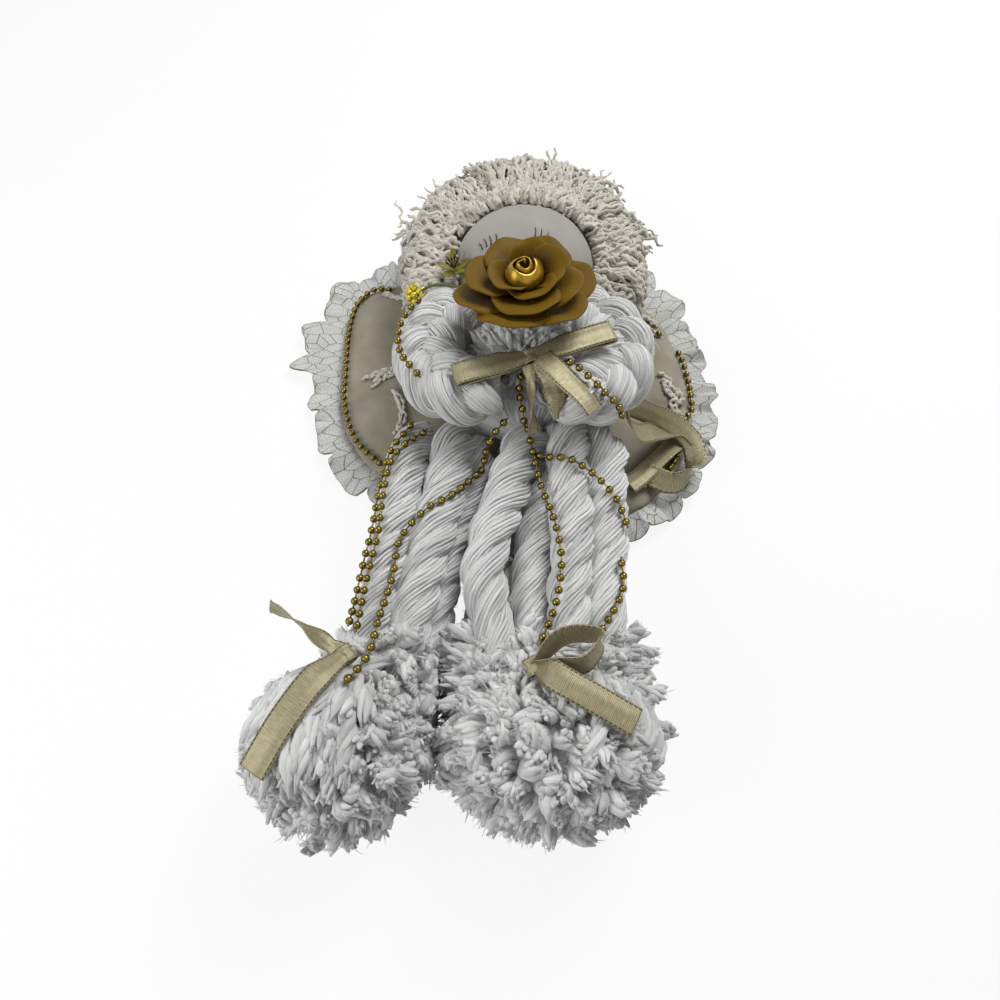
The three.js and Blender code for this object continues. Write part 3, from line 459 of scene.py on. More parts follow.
def curveThrough(points):
    p = np.asarray(points, float) * mm
    p = np.vstack([2 * p[0] - p[1], p, 2 * p[-1] - p[-2]])
    gaps = np.linalg.norm(np.diff(p, axis=0), axis=1) ** 0.5
    dense = []
    for i in range(1, len(p) - 2):
        t0, t1 = 0.0, gaps[i - 1]
        t2 = t1 + gaps[i]
        t3 = t2 + gaps[i + 1]
        t = np.linspace(t1, t2, curveSteps, endpoint=False)[:, None]
        a1 = (t1 - t) / (t1 - t0) * p[i - 1] + (t - t0) / (t1 - t0) * p[i]
        a2 = (t2 - t) / (t2 - t1) * p[i] + (t - t1) / (t2 - t1) * p[i + 1]
        a3 = (t3 - t) / (t3 - t2) * p[i + 1] + (t - t2) / (t3 - t2) * p[i + 2]
        b1 = (t2 - t) / (t2 - t0) * a1 + (t - t0) / (t2 - t0) * a2
        b2 = (t3 - t) / (t3 - t1) * a2 + (t - t1) / (t3 - t1) * a3
        dense.append((t2 - t) / (t2 - t1) * b1 + (t - t1) / (t2 - t1) * b2)
    dense.append(p[-2][None])
    return np.vstack(dense)


def smoothPath(points, count):
    return evenPath(curveThrough(points), count)


def pathLength(path):
    return float(np.linalg.norm(np.diff(path, axis=0), axis=1).sum())


# The length of each of many paths
def pathLengths(paths):
    return np.linalg.norm(np.diff(paths, axis=1), axis=2).sum(axis=1)


def evenPath(path, count):
    steps = np.concatenate([[0], np.cumsum(np.linalg.norm(np.diff(path, axis=0), axis=1))])
    wanted = np.linspace(0, steps[-1], count)
    return np.stack([np.interp(wanted, steps, path[:, k]) for k in range(3)], axis=1)


def unit(v):
    return v / (np.linalg.norm(v, axis=-1, keepdims=True) + 1e-12)


def carriedFrames(paths):
    tangent = unit(np.gradient(paths, axis=1))
    steep = np.abs(tangent[:, 0, 2:]) > 0.8
    carried = np.where(steep, np.array([[1.0, 0, 0]]), np.array([[0, 0, 1.0]]))
    first = np.empty_like(paths)
    for i in range(paths.shape[1]):
        along = tangent[:, i]
        carried = unit(carried - along * np.sum(carried * along, axis=1, keepdims=True))
        first[:, i] = carried
    return tangent, first, np.cross(tangent, first)


# A share of the way from 0 to 1 with a soft start and end
def eased(share):
    return share * share * (3 - 2 * share)


# Points turned about the X axis
def tipped(points, angle):
    c, s = math.cos(angle), math.sin(angle)
    return points @ np.array([[1, 0, 0], [0, c, -s], [0, s, c]]).T


# Slow random waves along the last axis, about -1 to 1
def waves(shape, cycles):
    share = np.linspace(0, 1, shape[-1])
    total = np.zeros(shape)
    for k in (1.0, 1.7, 2.9):
        phase = rng.uniform(0, 1, shape[:-1] + (1,))
        total += np.sin(2 * np.pi * (cycles * k * share + phase)) / k
    return total / 1.9


# Closed tubes along many paths: points, faces, fibre places and one shade for each tube
# With a lay, in millimetres, the surface is plied: two plies bulge by depth and turn once in that length
def tubes(paths, radii, sides=6, shadeRange=(0.1, 0.4), lay=None, depth=0.3):
    count, steps = paths.shape[:2]
    _, first, second = carriedFrames(paths)
    turn = np.broadcast_to(np.arange(sides) * 2 * np.pi / sides, (count, steps, sides))
    gaps = np.linalg.norm(np.diff(paths, axis=1), axis=2)
    along = np.concatenate([np.zeros((count, 1)), np.cumsum(gaps, axis=1)], axis=1)
    along = (along / mm + rng.uniform(0, 900, (count, 1)))[..., None]
    far = np.broadcast_to(np.asarray(radii)[..., None], turn.shape)
    fibre = turn
    if lay:
        fibre = turn - 2 * np.pi * along / lay
        far = far * (1 - depth * (1 - np.abs(np.cos(fibre))))
    out = first[:, :, None] * np.cos(turn)[..., None] + second[:, :, None] * np.sin(turn)[..., None]
    verts = paths[:, :, None] + out * far[..., None]
    lie = np.stack(
        [far / mm * np.cos(fibre), far / mm * np.sin(fibre), np.broadcast_to(along, turn.shape)], axis=-1,
    )
    shade = np.broadcast_to(rng.uniform(*shadeRange, (count, 1, 1)), turn.shape)
    index = np.arange(count * steps * sides).reshape(count, steps, sides)
    a, b = index[:, :-1], index[:, 1:]
    quads = np.stack([a, np.roll(a, -1, 2), np.roll(b, -1, 2), b], axis=-1).reshape(-1, 4)
    caps = []
    for k in range(1, sides - 2, 2):
        caps.append(index[:, -1][:, [0, k, k + 1, k + 2]])
        caps.append(index[:, 0][:, [k + 2, k + 1, k, 0]])
    return verts.reshape(-1, 3), np.vstack([quads] + caps), lie.reshape(-1, 3), shade.reshape(-1)


# Threads laid round each path; ring is how far out they lie, and twist is in turns over the path
def bundle(paths, ring, threads, twist, unrest=0.12, cycles=2.0):
    count, steps = paths.shape[:2]
    _, first, second = carriedFrames(paths)
    share = np.linspace(0, 1, steps)
    phase = rng.uniform(0, 1, (count, 1)) + np.arange(threads)[None] / threads
    turn = 2 * np.pi * (phase[:, :, None] + twist * share)
    turn = turn + 0.5 * unrest * waves((count, threads, steps), cycles)
    far = ring[:, None] * (1 + unrest * waves((count, threads, steps), cycles))
    out = first[:, None] * np.cos(turn)[..., None] + second[:, None] * np.sin(turn)[..., None]
    return (paths[:, None] + out * far[..., None]).reshape(-1, steps, 3)


# Loose fibres that stand off a set of thread paths, away from it at first and then along it
def strayFibres(paths, count, reach, radius=0.08):
    steps = 6
    which = rng.integers(0, len(paths), count)
    where = rng.integers(2, paths.shape[1] - 2, count)
    start = paths[which, where]
    along = unit(paths[which, where + 1] - paths[which, where - 1])
    away = unit(np.cross(along, rng.normal(size=(count, 3))))
    drift = unit(along * rng.choice([-1, 1], (count, 1)) + 0.6 * rng.normal(size=(count, 3)))
    t = np.linspace(0, 1, steps)[None, :, None]
    size = rng.uniform(0.5, 1.0, (count, 1, 1)) * reach * mm
    fibre = start[:, None] + size * (away[:, None] * (1.4 * t - 0.7 * t * t) + drift[:, None] * t * t * 0.9)
    fibre[..., 2] = np.maximum(fibre[..., 2], 2 * radius * mm)  # none goes through the floor
    return tubes(fibre, np.full((count, steps), radius * mm), 4, (0.3, 0.5))


# A closed sheet with some thickness from a grid of points
def thickGrid(grid, thick, lie, shade=0.3):
    rows, cols = grid.shape[:2]
    du = np.gradient(grid, axis=0)
    dv = np.gradient(grid, axis=1)
    normal = unit(np.cross(du, dv))
    half = np.broadcast_to(np.asarray(thick, float), (rows, cols))[..., None] * mm / 2
    verts = np.concatenate([(grid + normal * half).reshape(-1, 3), (grid - normal * half).reshape(-1, 3)])
    index = np.arange(rows * cols).reshape(rows, cols)
    under = index + rows * cols
    top = np.stack([index[:-1, :-1], index[1:, :-1], index[1:, 1:], index[:-1, 1:]], axis=-1).reshape(-1, 4)
    low = np.stack([under[:-1, :-1], under[:-1, 1:], under[1:, 1:], under[1:, :-1]], axis=-1).reshape(-1, 4)
    rim = np.concatenate([index[:-1, 0], index[-1, :-1], index[:0:-1, -1], index[0, :0:-1]])
    ahead = np.roll(rim, -1)
    wall = np.stack([ahead, rim, rim + rows * cols, ahead + rows * cols], axis=-1)
    places = np.concatenate([lie.reshape(-1, 3)] * 2)
    return verts, np.vstack([top, low, wall]), places, np.full(len(verts), shade)


# A ball of radius 1 in rows from its bottom up; edge, in radians, keeps the end rows off the poles
def ballRows(rows, cols, edge):
    polar = np.linspace(edge, np.pi - edge, rows)[:, None]
    turn = np.linspace(0, 2 * np.pi, cols, endpoint=False)[None]
    flat = np.ones_like(turn)
    skin = np.stack(
        [np.sin(polar) * np.cos(turn), np.sin(polar) * np.sin(turn), -np.cos(polar) * flat], axis=-1,
    )
    return polar, turn, skin


# Rows of points joined into a closed skin; the first and last rows close on a point each
def closedSkin(rings, shade=0.3):
    rows, cols = rings.shape[:2]
    index = np.arange(rows * cols).reshape(rows, cols)
    a, b = index[:-1], index[1:]
    quads = np.stack([a, np.roll(a, -1, 1), np.roll(b, -1, 1), b], axis=-1).reshape(-1, 4)
    verts = np.vstack([rings.reshape(-1, 3), rings[0].mean(axis=0), rings[-1].mean(axis=0)])
    low, high = rows * cols, rows * cols + 1
    start = np.stack([np.roll(index[0], -1), index[0], np.full(cols, low)], axis=-1)
    end = np.stack([index[-1], np.roll(index[-1], -1), np.full(cols, high)], axis=-1)
    return verts, [quads, start, end], verts / mm, np.full(len(verts), shade)


# One mesh object from several sets of parts, riding on a body and standing for CAD nodes
def makePiece(name, parts, finish, body, nodes=()):
    offset = 0
    verts, faceSets, lies, shades = [], [], [], []
    for partVerts, partFaces, partLie, partShade in parts:
        for faces in partFaces if isinstance(partFaces, list) else [partFaces]:
            faceSets.append(faces + offset)
        verts.append(partVerts)
        lies.append(partLie)
        shades.append(partShade)
        offset += len(partVerts)
    verts = np.vstack(verts).astype(np.float32)
    loops = np.concatenate([f.ravel() for f in faceSets]).astype(np.int32)
    sizes = np.concatenate([np.full(len(f), f.shape[1]) for f in faceSets])
    starts = np.concatenate([[0], np.cumsum(sizes)[:-1]]).astype(np.int32)
    mesh = bpy.data.meshes.new(name)
    mesh.vertices.add(len(verts))
    mesh.vertices.foreach_set("co", verts.ravel())
    mesh.loops.add(len(loops))
    mesh.loops.foreach_set("vertex_index", loops)
    mesh.polygons.add(len(sizes))
    mesh.polygons.foreach_set("loop_start", starts)
    mesh.update(calc_edges=True)
    mesh.shade_smooth()
    lieData = mesh.attributes.new("lie", "FLOAT_VECTOR", "POINT")
    lieData.data.foreach_set("vector", np.vstack(lies).astype(np.float32).ravel())
    shadeData = mesh.attributes.new("shade", "FLOAT", "POINT")
    shadeData.data.foreach_set("value", np.concatenate(shades).astype(np.float32))
    mesh.materials.append(finishes[finish])
    piece = bpy.data.objects.new(name, mesh)
    scene.collection.objects.link(piece)
    return settle(piece, body, nodes)


# body is a name, and the piece rides on that body; given two names and two points instead, the piece is only
# baked in place
def settle(piece, body, nodes=()):
    if isinstance(body, str):
        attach(piece, body)
    else:
        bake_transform(piece)
    if nodes:
        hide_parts(*nodes)
    return piece


# Feeling the height of pieces from above, to lay strings and ribbons over them
def feelers(pieces):
    graph = bpy.context.evaluated_depsgraph_get()
    return [BVHTree.FromObject(p, graph) for p in pieces]


# Rays go down from half a metre, at the place itself and at eight places round it
def heightOver(trees, x, y, reach):
    top = 0.0
    for dx in (-reach, 0, reach):
        for dy in (-reach, 0, reach):
            for tree in trees:
                hit = tree.ray_cast(Vector((x + dx, y + dy, 0.5)), Vector((0, 0, -1)))[0]
                if hit is not None:
                    top = max(top, hit.z)
    return top


# A route rests on the high spots and spans the hollows, sagging a little; a third number in it is the least
# height there
slack = {"passes": 60, "sag": 0.02}


def laidOver(route, trees, clear, step, reach, sink=0.0):
    full = [list(p) + [0] * (3 - len(p)) for p in route]
    plan = smoothPath(full, 400)
    count = max(6, int(round(pathLength(plan * [1, 1, 0]) / (step * mm))))
    plan = evenPath(plan, count)
    rise = (clear - sink) * mm
    least = np.array([max(p[2], heightOver(trees, p[0], p[1], reach * mm) + rise) for p in plan])
    heights = least.copy()
    for _ in range(slack["passes"]):
        middle = (heights[:-2] + heights[2:]) / 2 - slack["sag"] * mm
        heights[1:-1] = np.maximum(least[1:-1], middle)
    plan[:, 2] = np.convolve(np.pad(heights, 1, mode="edge"), [0.25, 0.5, 0.25], mode="valid")
    return plan


# Legs: three plies a rope, each a bundle of threads, running up under the arms to the hip
rope = {
    "radius": 9.5, "ankleRadius": 8.3, "lay": 42, "step": 1.3, "slim": {"left_low": 0.9}, "deepScale": 0.7,
    "plies": 3, "plyOut": 0.43, "plyRadius": 0.57, "plyTwist": 1.3, "threads": 20, "thread": 0.72,
    "stray": 520, "strayReach": 2.6,
}
hips = {"left": (-20, -5, 24), "right": (29, -5, 24)}
ropeRoutes = {
    "left": {
        "outer": [[-38, -7, 31], [-42, -45, 33], [-47, -75, 33], [-50, -104, 33]],
        "inner": [[-20, -7, 32], [-27, -45, 34], [-33, -75, 35], [-37, -104, 34]],
        "under": [[-30, -8, 18], [-36, -45, 19], [-41, -75, 21], [-44, -104, 22]],
        "low": [[-10.5, -8, 24], [-20, -45, 22], [-26, -75, 22], [-31, -104, 22]],
    },
    "right": {
        "front": [[9, -7, 33], [-3, -42, 36], [-6, -62, 36], [-2, -84, 34], [3, -104, 33]],
        "middle": [[22, -8, 24], [14, -45, 26], [12, -75, 26], [16, -104, 27]],
        "inner": [[28, -7, 36], [28, -45, 36], [26, -75, 36], [25, -104, 34]],
        "outer": [[44, -7, 31], [42, -45, 32], [40, -75, 33], [39, -104, 32]],
        "under": [[40, -8, 16], [33, -45, 18], [30, -75, 20], [31, -104, 20]],
    },
}


# Pieces that start at a hip are given the hip's and the leg's bodies and two points at these heights on the
# doll; settle only bakes such pieces in place
bendSpan = {"above": 8, "below": 28}


def legBlend(side):
    x, y, z = hips[side]
    start = (x * mm, (y + bendSpan["above"]) * mm, z * mm)
    end = (x * mm, (y - bendSpan["below"]) * mm, z * mm)
    return f"{side}_hip", f"{side}_leg", start, end


# The first two points draw the rope in under the arms, towards the hip knot
def ropeParts(route, hipX, scale=1.0):
    x, y, z = route[0]
    inwards = hipX - x
    upper = [[x + 0.3 * inwards, y + 12, z - 4], [x + 0.12 * inwards, y + 6, z - 1.5]]
    path = smoothPath(upper + route, 120)
    length = pathLength(path)
    path = evenPath(path, int(length / (rope["step"] * mm)))
    steps = len(path)
    narrowing = (rope["ankleRadius"] - rope["radius"]) * eased(np.linspace(0, 1, steps))
    size = scale * (rope["radius"] + narrowing) * mm
    turns = length / (rope["lay"] * mm)
    plies = bundle(path[None], size[None] * rope["plyOut"], rope["plies"], turns, 0.14, 3.0)
    slub = 1 + 0.12 * waves((rope["plies"], steps), 5.0)
    ring = (size * rope["plyRadius"] - rope["thread"] * mm * 0.85) * slub
    threads = bundle(plies, ring, rope["threads"], rope["plyTwist"], 0.12, 5.0)
    thickness = rope["thread"] * mm * (1 + 0.16 * waves((len(threads), steps), 5.0))
    return [
        tubes(threads, thickness, 6, (0.0, 0.5)),
        # The filler gets the darkest tones: painted shade in the gaps between the threads
        tubes(plies, ring * 0.97, 12, (0.0, 0.1)),  # fills each ply, so that no light shows through
        strayFibres(threads, rope["stray"], rope["strayReach"]),
    ]


ropePieces = {"left": [], "right": []}
for side, routes in ropeRoutes.items():
    for name, route in routes.items():
        parts = ropeParts(route, hips[side][0], rope["slim"].get(f"{side}_{name}", 1.0))
        piece = makePiece(
            f"{side}_leg_{name}_yarn", parts, "cotton", legBlend(side),
            [f"{side}_leg_{name}_rope"],
        )
        ropePieces[side].append(piece)
# Two thinner ropes lie deeper in the right leg and show only between the others
deepRopes = {
    "deep": [[14, -10, 14], [6, -42, 13], [4, -66, 13], [6, -88, 14], [10, -104, 16]],
    "parting": [[3.5, -10, 15], [-2.2, -42, 15], [-7.6, -66, 16], [-11, -88, 18], [-13.5, -106, 20]],
}
for name, route in deepRopes.items():
    parts = ropeParts(route, hips["right"][0], rope["deepScale"])
    makePiece(f"right_leg_{name}_yarn", parts, "cotton", legBlend("right"))
print("leg ropes made", sum(len(v) for v in ropePieces.values()))


# Feet: soft yarn ends that spread from the ankle tie, some swept over the ball and some cut short
# all round it
pompom = {
    "end": 2.6, "plies": 5, "steps": 9, "bunches": 4, "core": 0.76, "stray": 1200, "strayReach": 6.0,
    "sweepSteps": 16, "sweepEnd": (70, 130), "sweepDrift": 0.25, "curlFrom": 0.72, "neckShare": 0.35,
    "partingX": -23.7, "floor": 1.6, "margin": 2.4,
    "left": {
        "tie": (-42, -95, 29), "centre": (-57, -123.5, 31), "half": (30.5, 29.5, 30.5), "neck": (18.5, 16),
        "tufts": 440, "sweeps": 86, "swept": (72, 235), "curl": 0.0, "collar": 90,
        "inner": {"ends": 120, "low": (-31, -134, 8), "high": (-23, -94, 36)},
    },
    "right": {
        "tie": (20, -95, 29), "centre": (17.5, -123.5, 31), "half": (38.5, 29.5, 30.5), "neck": (27, 16),
        "tufts": 520, "sweeps": 50, "swept": (-45, 50), "curl": 1.3, "collar": 160,
        "inner": {"ends": 136, "low": (-24, -132, 8), "high": (-11, -78, 36)},
    },
}
sides = ("left", "right")


def spreadDirections(count):
    k = np.arange(count) + 0.5
    polar = np.arccos(1 - 2 * k / count)
    turn = np.pi * (1 + 5 ** 0.5) * k
    return np.stack([np.cos(turn) * np.sin(polar), np.sin(turn) * np.sin(polar), np.cos(polar)], axis=1)


# Soft yarn ends: plump plies twisted round one in the middle, opening at the tip, where they are cut
# to different lengths and fray
softEnd = {
    "lay": 30, "cut": 1.6, "girth": 0.55, "frays": 5, "frayReach": (2.0, 4.5), "frayDeep": 1.6,
    "fraySpread": 0.9, "frayRadii": (0.16, 0.14, 0.11, 0.06), "lowest": 0.2,
}


def yarnEnds(paths, look):
    count, steps = paths.shape[:2]
    share = np.linspace(0, 1, steps)
    size = rng.uniform(0.7, 1.2, (count, 1)) * look["end"] * mm
    opening = np.interp(share, [0, 0.3, 0.75, 1], [0.4, 0.55, 0.6, 0.9])
    ring = size * opening * (1 + 0.15 * waves((count, steps), 1.5))
    twist = pathLengths(paths)[:, None, None] / (softEnd["lay"] * mm)
    plies = np.concatenate([bundle(paths, ring, look["plies"], twist, 0.25, 1.5), paths])
    cut = rng.uniform(-softEnd["cut"], softEnd["cut"], (len(plies), 1)) * mm
    plies[:, -1] += unit(plies[:, -1] - plies[:, -2]) * cut
    plySize = np.concatenate([np.repeat(size, look["plies"], axis=0), size])
    girth = softEnd["girth"] * plySize * rng.uniform(0.75, 1.2, (len(plies), 1))
    plump = np.interp(share, [0, 0.3, 0.8, 0.93, 1], [0.7, 1, 1, 0.8, 0.3])
    plump = plump * (1 + 0.16 * waves((len(plies), steps), 2.0))
    way = np.repeat(unit(paths[:, -1] - paths[:, -3]), softEnd["frays"], axis=0)
    lean = unit(way + 0.9 * rng.normal(size=way.shape))
    t = np.linspace(0, 1, len(softEnd["frayRadii"]))[None, :, None]
    reach = rng.uniform(*softEnd["frayReach"], (len(way), 1, 1)) * mm
    foot = np.repeat(paths[:, -1], softEnd["frays"], axis=0) - way * softEnd["frayDeep"] * mm
    foot = foot + rng.normal(size=way.shape) * softEnd["fraySpread"] * mm
    fray = foot[:, None] + reach * (way[:, None] * (t - t * t / 2) + lean[:, None] * t * t * 0.7)
    fray[..., 2] = np.maximum(fray[..., 2], softEnd["lowest"] * mm)
    frayRadii = np.broadcast_to(np.array(softEnd["frayRadii"]) * mm, fray.shape[:2])
    return [tubes(plies, girth * plump, 8, (0.0, 0.5)), tubes(fray, frayRadii, 4, (0.2, 0.5))]


def bowedPaths(roots, middles, tips, steps):
    t = np.linspace(0, 1, steps)[None, :, None]
    return roots[:, None] * (1 - t) ** 2 + 2 * middles[:, None] * t * (1 - t) + tips[:, None] * t * t


# Strands that leave the tie, run over the ball and end low on it; curl turns their ends back in as loops
def sweptPaths(foot, centre, half, tie):
    count = foot["sweeps"]
    t = np.linspace(0, 1, pompom["sweepSteps"])[None]
    turn = np.radians(rng.uniform(*foot["swept"], (count, 1)))
    turn = turn + pompom["sweepDrift"] * rng.normal(size=(count, 1)) * t
    polar = 0.3 + (np.radians(rng.uniform(*pompom["sweepEnd"], (count, 1))) - 0.3) * t
    curl = foot["curl"] * np.clip(t - pompom["curlFrom"], 0, 1)
    far = rng.uniform(0.9, 1.0, (count, 1)) + 0.05 * t ** 3 - curl
    flat = np.ones_like(turn)
    ball = np.stack(
        [np.sin(polar) * np.cos(turn), np.cos(polar) * flat, np.sin(polar) * np.sin(turn)], axis=-1,
    )
    wide, deep = foot["neck"]
    neck = np.stack([wide * np.cos(turn), 1.5 * flat, deep * np.sin(turn)], axis=-1) * mm
    ease = eased(np.clip(t / pompom["neckShare"], 0, 1))[..., None]
    return (tie + neck) * (1 - ease) + (centre + half * ball * far[..., None]) * ease


# Short ends that stand round the tie and hide it
def collarPaths(foot, tie):
    count = foot["collar"]
    turn = rng.uniform(-0.9, np.pi + 0.9, count)
    wide, deep = foot["neck"]
    around = np.stack([wide * np.cos(turn), np.zeros(count), deep * np.sin(turn)], axis=1) * mm
    back = np.stack([np.zeros(count), rng.uniform(-12, 9, count), np.zeros(count)], axis=1) * mm
    roots = tie + around * 0.7 + back
    tips = tie + around * rng.uniform(1.1, 1.3, (count, 1)) + back
    tips += rng.normal(size=(count, 3)) * np.array([3, 3, 1.2]) * mm
    tips[:, 1] += rng.uniform(-3, 5, count) * mm
    return bowedPaths(roots, (roots + tips) / 2 + around * 0.2, tips, pompom["steps"])


# Short ends beside the legs, where the two feet face each other
def innerPaths(foot, tie):
    low, high = (np.array(foot["inner"][k]) * mm for k in ("low", "high"))
    tips = low + (high - low) * rng.uniform(0, 1, (foot["inner"]["ends"], 3))
    roots = tips + (tie - tips) * 0.4
    middles = (roots + tips) / 2 + rng.normal(size=tips.shape) * 2 * mm
    return bowedPaths(roots, middles, tips, pompom["steps"])


# Paths kept above the floor and on their own side of the parting between the feet
def keptApart(paths, side):
    paths[..., 2] = np.maximum(paths[..., 2], (pompom["floor"] + pompom["margin"]) * mm)
    wall = pompom["partingX"] * mm
    if side == "left":
        paths[..., 0] = np.minimum(paths[..., 0], wall - pompom["margin"] * mm)
    else:
        paths[..., 0] = np.maximum(paths[..., 0], wall + pompom["margin"] * mm)
    return paths


# Short ends all round the ball but at its top, where the leg comes in, and its underside
def footPaths(side):
    foot = pompom[side]
    centre, half, tie = (np.array(foot[k]) * mm for k in ("centre", "half", "tie"))
    ways = spreadDirections(foot["tufts"])
    ways = unit(ways + 0.1 * rng.normal(size=ways.shape))
    ways = ways[(ways[:, 1] < 0.8) & (ways[:, 2] > -0.9)]
    tips = centre + half * ways * rng.uniform(0.9, 1.05, (len(ways), 1))
    tips = tips + rng.normal(size=ways.shape) * 1.2 * mm
    roots = centre + (tips - centre) * 0.55 + (tie - centre) * 0.1
    middles = centre + (tips - centre) * 0.85 + rng.normal(size=ways.shape) * 3.5 * mm
    short = bowedPaths(roots, middles, tips, pompom["steps"])
    ends = np.concatenate([short, collarPaths(foot, tie), innerPaths(foot, tie)])
    ends = ends[np.argsort(ends[:, -1, 1])]
    return keptApart(ends, side), keptApart(sweptPaths(foot, centre, half, tie), side)


footPieces = {}
_, _, roundBall = ballRows(16, 24, 0.03)
for side in sides:
    foot = pompom[side]
    ends, sweeps = footPaths(side)
    inside = np.array(foot["centre"]) * mm + np.array(foot["half"]) * pompom["core"] * mm * roundBall
    # The core ball gets the darkest tone: painted shade where it shows between the yarn ends
    parts = yarnEnds(sweeps, pompom) + [closedSkin(inside, 0.0)]
    footPieces[side] = [
        makePiece(f"{side}_foot_sweeps", parts, "cotton", f"{side}_leg", [f"{side}_pompom"]),
    ]
    for number, bunch in enumerate(np.array_split(ends, pompom["bunches"])):
        stray = pompom["stray"] // pompom["bunches"]
        parts = yarnEnds(bunch, pompom) + [strayFibres(bunch, stray, pompom["strayReach"])]
        footPieces[side].append(
            makePiece(f"{side}_foot_tufts_{number + 1}", parts, "cotton", f"{side}_leg"),
        )
print("pompom feet made")


# Hip knots: yarn wound round and round into a ball, twice across each other
hipKnot = {"radius": 9.3, "turns": 8, "thread": 1.5, "tilts": (0.2, 1.5), "stepsPerTurn": 26}


def woundParts(centre, tilt):
    steps = hipKnot["turns"] * hipKnot["stepsPerTurn"]
    share = np.linspace(0, 1, steps)
    turn = 2 * np.pi * hipKnot["turns"] * share
    polar = np.pi * (0.08 + 0.84 * share)
    ball = np.stack([np.sin(polar) * np.cos(turn), np.sin(polar) * np.sin(turn), np.cos(polar)], axis=1)
    path = np.array(centre) * mm + tipped(ball, tilt) * hipKnot["radius"] * mm
    return tubes(path[None], np.full((1, steps), hipKnot["thread"] * mm), 6)


for side, at in hips.items():
    wraps = [woundParts(at, tilt) for tilt in hipKnot["tilts"]]
    makePiece(f"{side}_hip_wrap", wraps, "cotton", f"{side}_hip", [f"{side}_hip_knot"])

# Ankle ties: a cord of three strands wound round all the ropes of a leg
ankle = {
    "left": {"x": -41.5, "halfWidth": 18.3, "halfDepth": 16.3, "z": 28},
    "right": {"x": 20, "halfWidth": 28.8, "halfDepth": 17.8, "z": 28.5},
    "y": -91, "turns": 3, "pitch": 1.7, "thread": 0.95, "stepsPerTurn": 60, "strands": 3, "strandTurns": 14,
}
tiePieces = {}
for side in sides:
    wrap = ankle[side]
    steps = ankle["turns"] * ankle["stepsPerTurn"]
    share = np.linspace(0, 1, steps)
    turn = 2 * np.pi * ankle["turns"] * share
    path = np.stack(
        [
            wrap["x"] + wrap["halfWidth"] * np.cos(turn),
            ankle["y"] + ankle["pitch"] * ankle["turns"] * (share - 0.5),
            wrap["z"] + wrap["halfDepth"] * np.sin(turn),
        ], axis=1,
    ) * mm
    ring = np.full((1, steps), 0.55 * ankle["thread"] * mm)
    strands = bundle(path[None], ring, ankle["strands"], ankle["strandTurns"], 0.1)
    parts = [tubes(strands, np.full((ankle["strands"], steps), 0.6 * ankle["thread"] * mm), 6)]
    tiePieces[side] = makePiece(
        f"{side}_ankle_tie", parts, "cotton", f"{side}_leg", [f"{side}_ankle_cord"],
    )
print("knots and ties made")


# Arms: three thick bundles of threads that pass over and under each other
arm = {
    "strands": 3, "sway": 8.4, "dip": 4.8, "strand": 6.9, "turns": 2.3, "tip": 0.62, "threads": 40,
    "thread": 0.66, "steps": 110, "stray": 420, "strayReach": 4.5,
}
armRoutes = {
    "left": [[-3, 57, 45], [-20, 53, 48], [-29, 39, 50], [-28, 22, 52], [-17, 11, 55], [-1, 9, 57]],
    "right": [[25, 57, 45], [41, 51, 48], [49, 37, 50], [47, 20, 52], [36, 10, 55], [21, 8, 57]],
}


def armParts(points):
    route = smoothPath(points, arm["steps"])
    along = unit(np.gradient(route, axis=0))
    across = unit(np.stack([along[:, 1], -along[:, 0], np.zeros(len(along))], axis=1))
    t = np.linspace(0, 1, arm["steps"])
    narrow = (arm["tip"] + (1 - arm["tip"]) * np.sqrt(np.clip(np.sin(np.pi * t), 0, 1)))[:, None]
    strands = []
    for k in range(arm["strands"]):
        turn = 2 * np.pi * (arm["turns"] * t + k / arm["strands"])[:, None]
        rise = np.sin(2 * turn) * [0, 0, arm["dip"]]
        strands.append(route + narrow * mm * (across * arm["sway"] * np.sin(turn) + rise))
    strands = np.stack(strands)
    taper = 0.55 + 0.45 * np.minimum(1, np.minimum(9 * t, 9 * (1 - t)))
    size = np.broadcast_to(arm["strand"] * taper * mm, strands.shape[:2])
    slub = 1 + 0.06 * waves(strands.shape[:2], 4.0)
    threads = bundle(strands, (size - arm["thread"] * mm) * slub, arm["threads"], 0.9, 0.09, 4.0)
    thickness = arm["thread"] * mm * (1 + 0.12 * waves((len(threads), arm["steps"]), 4.0))
    return [
        tubes(threads, thickness, 6, (0.0, 0.5)),
        # The filler inside each strand gets the darkest tones: painted shade between the threads
        tubes(strands, (size - 1.2 * arm["thread"] * mm) * slub, 14, (0.0, 0.1)),
        strayFibres(threads, arm["stray"], arm["strayReach"]),
    ]


armPieces = []
for side, points in armRoutes.items():
    piece = makePiece(
        f"{side}_arm_braid", armParts(points), "cotton", "torso", [f"{side}_arm_plait"],
    )
    armPieces.append(piece)

# Body bundle under the arms: strands laid over an egg from neck to hips
body = {
    "centre": (9, 33, 27), "half": (29.5, 27, 16.5), "strands": 74, "thread": 1.5, "steps": 34, "swirl": 0.25,
    "core": 0.96,
}


